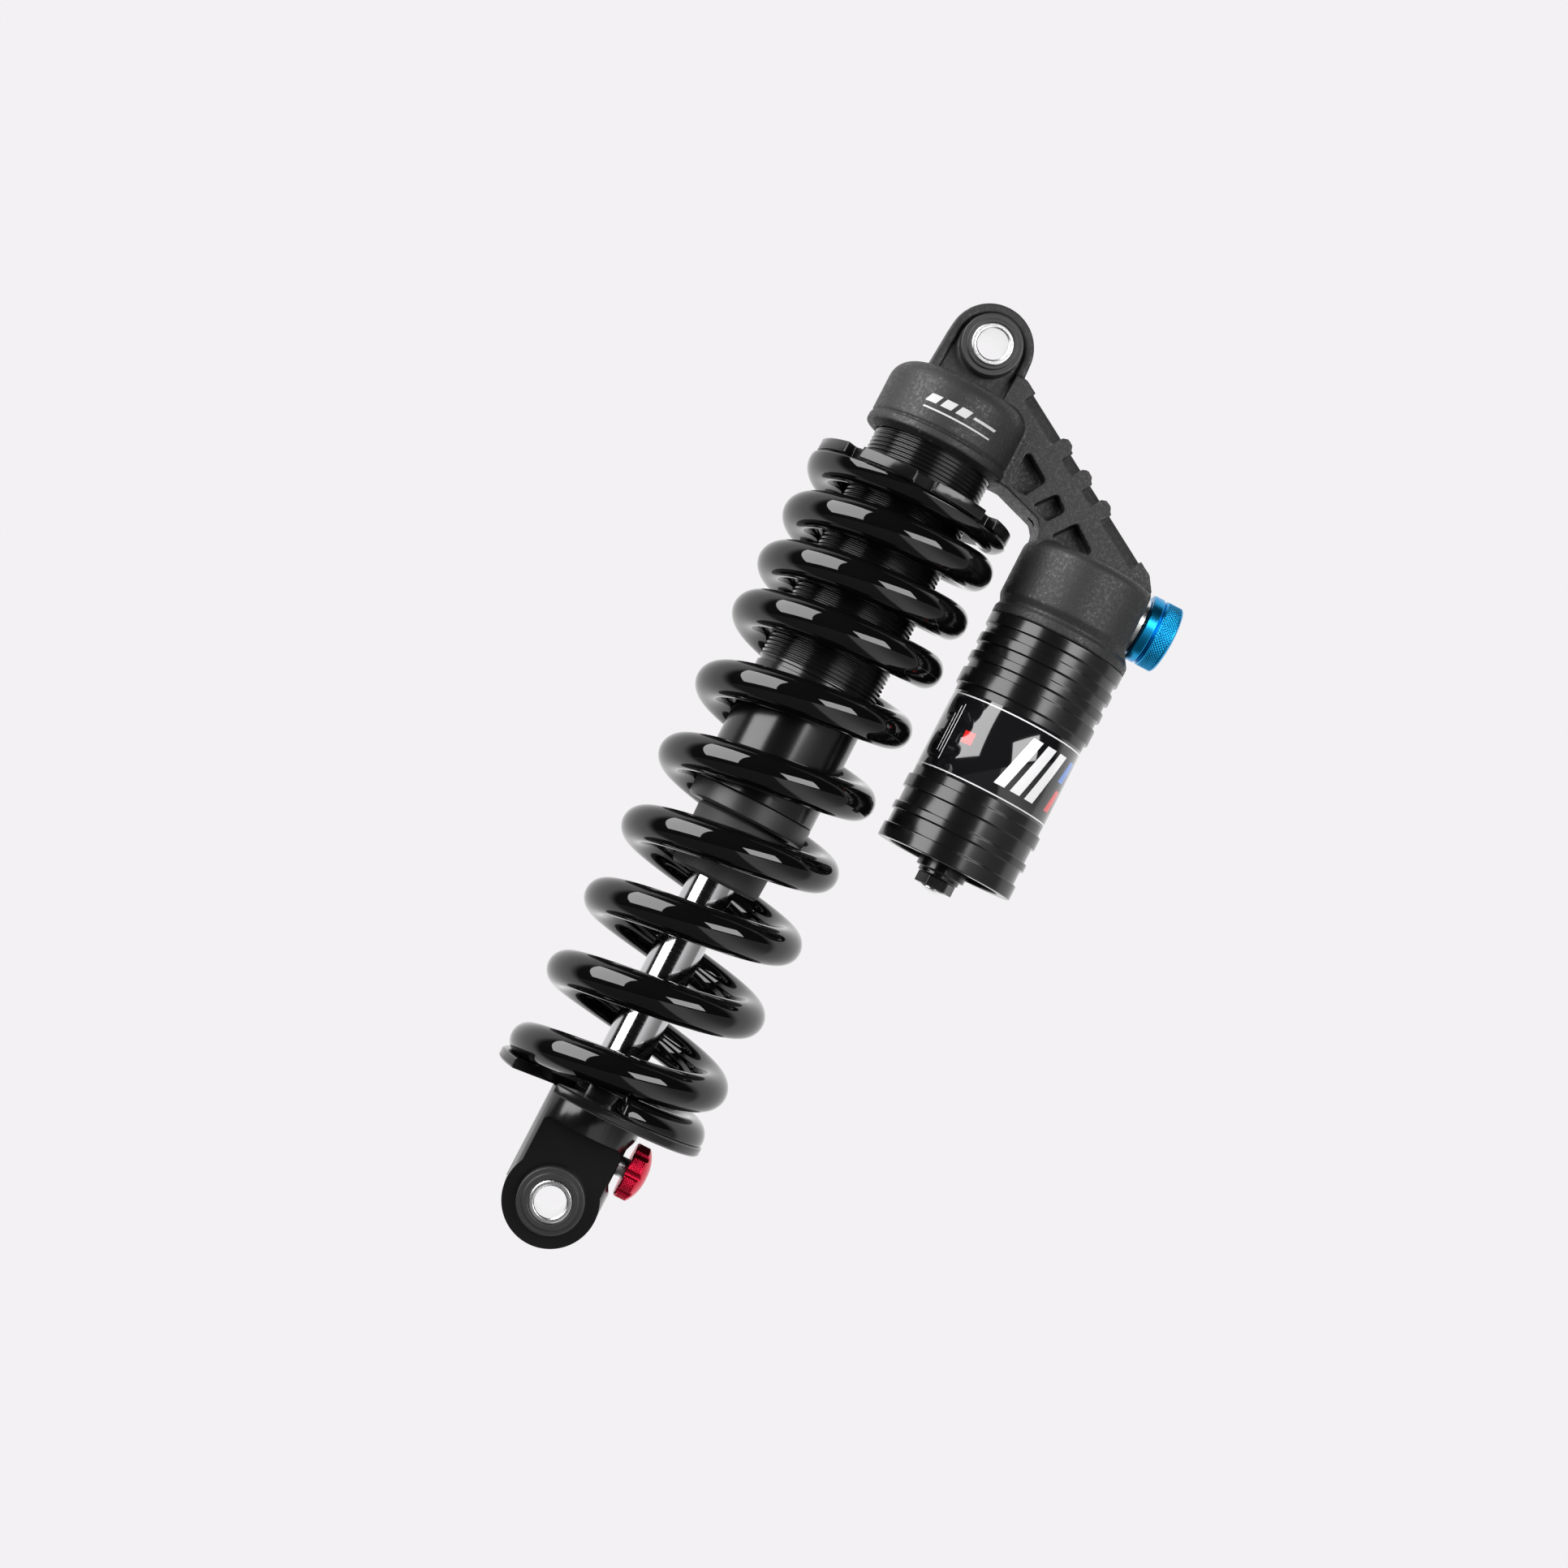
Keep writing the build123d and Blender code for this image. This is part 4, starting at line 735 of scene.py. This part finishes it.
def threaded_tube():
    """The damper tube with its preload thread, one helix from inside the cap to the relief groove."""
    pitch, depth, rows_per_turn = 1.1 * MM, 0.5 * MM, 8
    least_radius, least_length = 15.9 * MM, 50 * MM      # only the threaded wall passes both
    outline, closed = half_section("damper_tube", ALONG_Z, damper_centre)[0]
    profile = rounded(outline, closed, 0.25 * MM)
    angles = even_angles(112)
    rings = []
    for i, point in enumerate(profile):
        rings.append(ring_points(point, ALONG_Z, damper_centre, angles))
        after = profile[(i + 1) % len(profile)]
        length = abs(point.y - after.y)
        upright = abs(point.x - after.x) < 0.01 * MM
        if not upright or point.x <= least_radius or length < least_length:
            continue
        rows = int(length / pitch * rows_per_turn)
        for row in range(1, rows):
            height = point.y + (after.y - point.y) * row / rows
            fade = min(1, row / rows_per_turn, (rows - row) / rows_per_turn)
            cut = depth * fade * (1 - thread_wave(height / pitch - angles / (2 * pi)))
            rings.append(ring_points((point.x, height), ALONG_Z, damper_centre, angles, point.x - cut))
    return skin("damper_tube_mesh", rings, closed)


put_on_body(threaded_tube(), "damper_tube")
for node, corner in (("seal_head", 0.35), ("thrust_washer", 0.15), ("shaft", 0.1), ("wiper_seal", 0.1)):
    put_on_body(turned(node, ALONG_Z, damper_centre, corner * MM), node)
bump_stop = put(turned("bump_stop", ALONG_Z, damper_centre, 0.8 * MM), "bump_stop")
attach(bump_stop, "damper_body")
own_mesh(bump_stop)


# ================================================================ spring
class Coil:
    """The spring's wire: its sizes, and its height after a number of turns from the top end."""

    wire = 4.8 * MM
    radius = 22.9 * MM
    seat_low, seat_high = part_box("coil_spring")[0].z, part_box("coil_spring")[1].z
    closed_top, close_wound, open_wound, closed_bottom = 0.5, 3.0, 6.0, 0.72       # turns
    ground_top, ground_bottom = 0.8, 9.3       # turns after which the wire leaves and meets its seat
    end_rise, close_wound_fall = 3.7 * MM, 41.6 * MM
    top_tip_rise, bottom_tip_drop = 2.5 * MM, 0.13 * MM
    first_z, last_z = seat_high + top_tip_rise, seat_low - bottom_tip_drop
    close_wound_share = 0.155       # of the travel, taken up by the close-wound turns


coil_turns = np.cumsum([0, Coil.closed_top, Coil.close_wound, Coil.open_wound, Coil.closed_bottom])
coil_heights = [
    Coil.first_z,
    Coil.first_z - Coil.end_rise,
    Coil.first_z - Coil.end_rise - Coil.close_wound_fall,
    Coil.last_z + Coil.end_rise,
    Coil.last_z,
]


def coil_height(turns):
    """Height of the wire's centre, with the changes of pitch eased over a tenth of a turn."""
    shifts = np.linspace(-0.05, 0.05, 5)
    return sum(np.interp(turns + shift, coil_turns, coil_heights) for shift in shifts) / len(shifts)


def wire_ring(turns, sides=44):
    """The wire's section after a number of turns, ground flat where it passes a seat."""
    angle = 2 * pi * turns
    height = coil_height(turns)
    nearby = 0.01
    fall = coil_height(turns - nearby) - coil_height(turns + nearby)
    slope = fall / (2 * nearby * 2 * pi * Coil.radius)
    around = even_angles(sides)
    out, rise = Coil.wire * np.cos(around), Coil.wire * np.sin(around) * hypot(1, slope)
    least_chord = 0.0316 * MM
    for seat, side in ((Coil.seat_high, 1), (Coil.seat_low, -1)):
        limit = side * (seat - height)
        beyond = side * rise > limit
        half_chord = np.sqrt(max(Coil.wire**2 - limit**2, least_chord**2))
        out[beyond] = np.clip(out[beyond], -half_chord, half_chord)
        rise[beyond] = side * limit
    radius = Coil.radius + out
    return np.stack([radius * cos(angle), -radius * sin(angle), height + rise], axis=1)


def coil_mesh():
    """The whole spring. Each point keeps how many turns it lies from the top."""
    steps_per_turn = 90
    chamfer_turns, end_face_share = 0.0022, 0.9
    stations = np.linspace(0, coil_turns[-1], int(coil_turns[-1] * steps_per_turn))
    rings = [wire_ring(turns) for turns in stations]
    ends = []
    for end, inward in ((0, 1), (-1, -1)):
        tip = rings[end].mean(axis=0)
        face = tip + (rings[end] - tip) * end_face_share
        ends.append([tip[None, :], face, wire_ring(stations[end] + inward * chamfer_turns)])
    rings = ends[0] + rings[1:-1] + ends[1][::-1]
    places = [stations[0]] * 2 + list(stations) + [stations[-1]] * 2
    turns_of = np.concatenate([np.full(len(ring), place) for ring, place in zip(rings, places)])
    return skin("coil_spring_mesh", rings, False, {"turns": turns_of})


spring = put(coil_mesh(), "coil_spring")
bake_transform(spring)
turns_along = np.empty(len(spring.data.vertices), dtype=np.float32)
spring.data.attributes["turns"].data.foreach_get("value", turns_along)

# ================================================================ reservoir
put_on_body(turned("reservoir_can", ALONG_Z, can_centre, 0.3 * MM), "reservoir_can")
put_on_body(turned("reservoir_end_cap", ALONG_Z, can_centre, 0.3 * MM), "reservoir_end_cap")
put_on_body(softened("gas_valve", 0.25 * MM), "gas_valve")
put_on_body(turned("gas_valve_plug", ALONG_Z, can_centre, 0.2 * MM), "gas_valve_plug")

# ================================================================ machined pieces
put_on_body(softened("preload_collar", 0.3 * MM), "preload_collar")
put_on_body(softened("spring_retainer", 0.3 * MM), "spring_retainer")
put_on_body(softened("lower_eyelet", 0.35 * MM), "lower_eyelet")
put_on_body(turned("compression_valve_body", ALONG_X, compression_centre, 0.2 * MM), "compression_valve_body")
put_on_body(turned("rebound_spindle", ALONG_X, rebound_centre, 0.2 * MM, 64), "rebound_spindle")


# ================================================================ knobs
KNURL_STEPS = 8      # points across one diamond
FLUTES = 8           # in the rebound knob's edge


def diamond(along, girth, pitch):
    """Height of a diamond knurl, 0 in its grooves and 1 on its points."""
    steepness = 1.6
    places = [(girth + way * along) / pitch for way in (-1, 1)]
    off_ridge = np.maximum(*[2 * np.abs(place - np.floor(place) - 0.5) for place in places])
    return 1 - np.clip(1 + steepness * (off_ridge - 1), 0, 1)


def knob(node, centre, rim, *, cut_angle, corner, wall_radius, knurl, pitch, depth):
    """A turned knob, knurled between two places along X; rim limits its radius at each angle."""
    outline, closed = half_section(node, ALONG_X, centre, cut_angle)[0]
    profile = rounded(outline, closed, corner)
    repeats = round(2 * pi * wall_radius / pitch)
    exact_pitch = 2 * pi * wall_radius / repeats
    angles = even_angles(repeats * KNURL_STEPS)
    girth = angles * wall_radius
    edge = rim(angles)
    rings = []
    for i, point in enumerate(profile):
        rings.append(ring_points(point, ALONG_X, centre, angles, np.minimum(point.x, edge)))
        after = profile[(i + 1) % len(profile)]
        length = abs(point.y - after.y)
        if min(point.x, after.x) < wall_radius - 0.05 * MM or length < 1.5 * MM:
            continue
        rows = int(length / exact_pitch * KNURL_STEPS)
        for row in range(1, rows):
            along = point.y + (after.y - point.y) * row / rows
            knurled = knurl[0] < along + centre.x < knurl[1]
            cut = depth * (1 - diamond(along, girth, exact_pitch)) if knurled else 0 * girth
            land = np.where(edge > wall_radius - 0.01 * MM, point.x - cut, edge)
            rings.append(ring_points((wall_radius, along), ALONG_X, centre, angles, land))
    return skin(f"{node}_mesh", rings, closed)


def round_rim(angles):
    """No limit to the radius: a plain round knob."""
    return np.full(len(angles), np.inf)


def fluted_rim(angles):
    """The rebound knob's edge, with round flutes cut into it."""
    flute_centre, flute_radius = 7.8 * MM, 1.3 * MM
    step = 2 * pi / FLUTES
    off = np.abs((angles + step / 2) % step - step / 2)
    reach = flute_radius**2 - (flute_centre * np.sin(off)) ** 2
    floor = flute_centre * np.cos(off) - np.sqrt(np.maximum(reach, 0))
    return np.where(reach > 0, floor, np.inf)


blue_low, blue_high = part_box("compression_knob")
blue_knob = knob(
    "compression_knob",
    compression_centre,
    round_rim,
    cut_angle=CLEAR_CUT,
    corner=0.35 * MM,
    wall_radius=(blue_high.z - blue_low.z) / 2,
    knurl=(blue_high.x - 5.2 * MM, blue_high.x - 0.9 * MM),
    pitch=0.85 * MM,
    depth=0.22 * MM,
)
put_on_body(blue_knob, "compression_knob")
red_low, red_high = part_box("rebound_knob")
red_knob = knob(
    "rebound_knob",
    rebound_centre,
    fluted_rim,
    cut_angle=pi / FLUTES,      # half-way between two flutes
    corner=0.25 * MM,
    wall_radius=7.25 * MM,
    knurl=(red_low.x + 0.5 * MM, red_high.x - 2.3 * MM),
    pitch=0.7 * MM,
    depth=0.18 * MM,
)
put_on_body(red_knob, "rebound_knob")


# ================================================================ label
def label_sheet():
    """The printed film round the front of the reservoir, with thin rounded edges."""
    low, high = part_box("reservoir_label")
    half_angle, count = radians(112), 97
    inner, outer, edge = 17.86 * MM, 17.98 * MM, 0.05 * MM
    section = [
        (inner, low.z), (outer - edge, low.z), (outer, low.z + edge),
        (outer, high.z - edge), (outer - edge, high.z), (inner, high.z),
    ]
    foot = Vector((can_centre.x, can_centre.y, 0))
    rings = []
    for angle in np.linspace(-half_angle, half_angle, count) - pi / 2:
        way = Vector((cos(angle), sin(angle), 0))
        rings.append(np.array([foot + way * radius + ALONG_Z * height for radius, height in section]))
    first, last = (ring.mean(axis=0)[None, :] for ring in (rings[0], rings[-1]))
    return skin("reservoir_label_mesh", [first, *rings, last], False)


put_on_body(label_sheet(), "reservoir_label")


# ================================================================ studio
def camera_and_directions():
    """The camera, and the room's right, up and back directions as it stands in them."""
    place, lens, sensor_width = Vector((-29.11, -675.39, -154.77)) * MM, 61.62, 36.0
    yaw, pitch, roll = radians(2.851), radians(2.813), radians(27.265)
    forward = Vector((sin(yaw) * cos(pitch), cos(yaw) * cos(pitch), sin(pitch)))
    level = Vector((cos(yaw), -sin(yaw), 0))
    steep = level.cross(forward)
    right = level * cos(roll) + steep * sin(roll)
    up = steep * cos(roll) - level * sin(roll)
    camera = bpy.data.objects.new("camera", bpy.data.cameras.new("camera"))
    bpy.context.scene.collection.objects.link(camera)
    camera.data.sensor_width, camera.data.lens = sensor_width, lens
    turn = Matrix((right, up, -forward)).transposed()
    camera.matrix_world = Matrix.Translation(place) @ turn.to_4x4()
    camera.data.clip_start, camera.data.clip_end = 0.05, 50.0
    bpy.context.scene.camera = camera
    return right, up, -forward


room_right, room_up, room_front = camera_and_directions()
whole_centre = (cad_box[0] + cad_box[1]) / 2
PALE = (0.896, 0.880, 0.896)


def studio_world():
    """A dark room with a white sweep behind and below the object, and a plain pale view of it."""
    world = bpy.data.worlds.new("studio")
    bpy.context.scene.world = world
    world.use_nodes = True
    tree = world.node_tree
    tree.nodes.clear()
    direction = add(tree, "ShaderNodeTexCoord").outputs["Generated"]
    upward, forward, rightward = (
        vector_maths(tree, "DOT_PRODUCT", direction, way) for way in (room_up, room_front, room_right)
    )
    below = step_between(tree, upward, -0.17, -0.13, 1.0, 0.0)
    dim_left = step_between(tree, step_between(tree, rightward, 0.0, 0.12), 0.0, 1.0, 0.12, 1.0)
    dim_far_right = step_between(tree, rightward, 0.3, 0.95, 1.0, 0.3)
    below = maths(tree, "MULTIPLY", below, maths(tree, "MULTIPLY", dim_left, dim_far_right))
    behind = step_between(tree, forward, -0.25, 0.05, 1.0, 0.0)
    sweep = maths(tree, "MAXIMUM", below, behind)
    room = add(tree, "ShaderNodeBackground", Color=(1, 1, 1, 1), Strength=1.0)
    level = step_between(tree, sweep, 0.0, 1.0, 0.012, 1.05, "LINEAR")
    tree.links.new(level, room.inputs["Strength"])
    seen = add(tree, "ShaderNodeBackground", Color=(*PALE, 1), Strength=1.0)
    eye_ray = add(tree, "ShaderNodeLightPath").outputs["Is Camera Ray"]
    mix = add(tree, "ShaderNodeMixShader", i0=eye_ray, i1=room.outputs[0], i2=seen.outputs[0])
    out = add(tree, "ShaderNodeOutputWorld")
    tree.links.new(mix.outputs[0], out.inputs["Surface"])


def soft_box(name, azimuth, elevation, width, height, radiance, distance=1.1):
    """A rectangular light, placed by its angles in the room as seen from the camera's side."""
    a, e = radians(azimuth), radians(elevation)
    way = room_front * cos(a) * cos(e) + room_right * sin(a) * cos(e) + room_up * sin(e)
    light = bpy.data.lights.new(name, "AREA")
    light.shape = "RECTANGLE"
    light.size, light.size_y = width, height
    light.energy = radiance * pi * width * height
    box = bpy.data.objects.new(name, light)
    bpy.context.scene.collection.objects.link(box)
    across = room_up.cross(way).normalized()
    turn = Matrix((across, way.cross(across), way)).transposed()
    box.matrix_world = Matrix.Translation(whole_centre + way * distance) @ turn.to_4x4()
    box.visible_camera = False


def pale_floor():
    """A plain floor well below the object, in the tone of the backdrop."""
    mesh = bpy.data.meshes.new("floor")
    far, low = 6.0, cad_box[0].z - 0.25
    corners = [(x * far, y * far, low) for x, y in ((-1, -1), (1, -1), (1, 1), (-1, 1))]
    mesh.from_pydata(corners, [], [(0, 1, 2, 3)])
    floor = bpy.data.objects.new("floor", mesh)
    bpy.context.scene.collection.objects.link(floor)
    material = bpy.data.materials.new("pale_floor")
    material.use_nodes = True
    tree = material.node_tree
    tree.nodes.clear()
    glow = add(tree, "ShaderNodeEmission", Color=(*PALE, 1), Strength=1.0)
    clear = add(tree, "ShaderNodeBsdfTransparent")
    eye_ray = add(tree, "ShaderNodeLightPath").outputs["Is Camera Ray"]
    mix = add(tree, "ShaderNodeMixShader", i0=eye_ray, i1=clear.outputs[0], i2=glow.outputs[0])
    out = add(tree, "ShaderNodeOutputMaterial")
    tree.links.new(mix.outputs[0], out.inputs["Surface"])
    mesh.materials.append(material)


studio_world()
pale_floor()
soft_box("left_box", azimuth=-50, elevation=42, width=0.85, height=1.3, radiance=7.0)
soft_box("right_box", azimuth=38, elevation=8, width=0.75, height=0.5, radiance=7.5)
bpy.context.scene.view_settings.view_transform = "Standard"
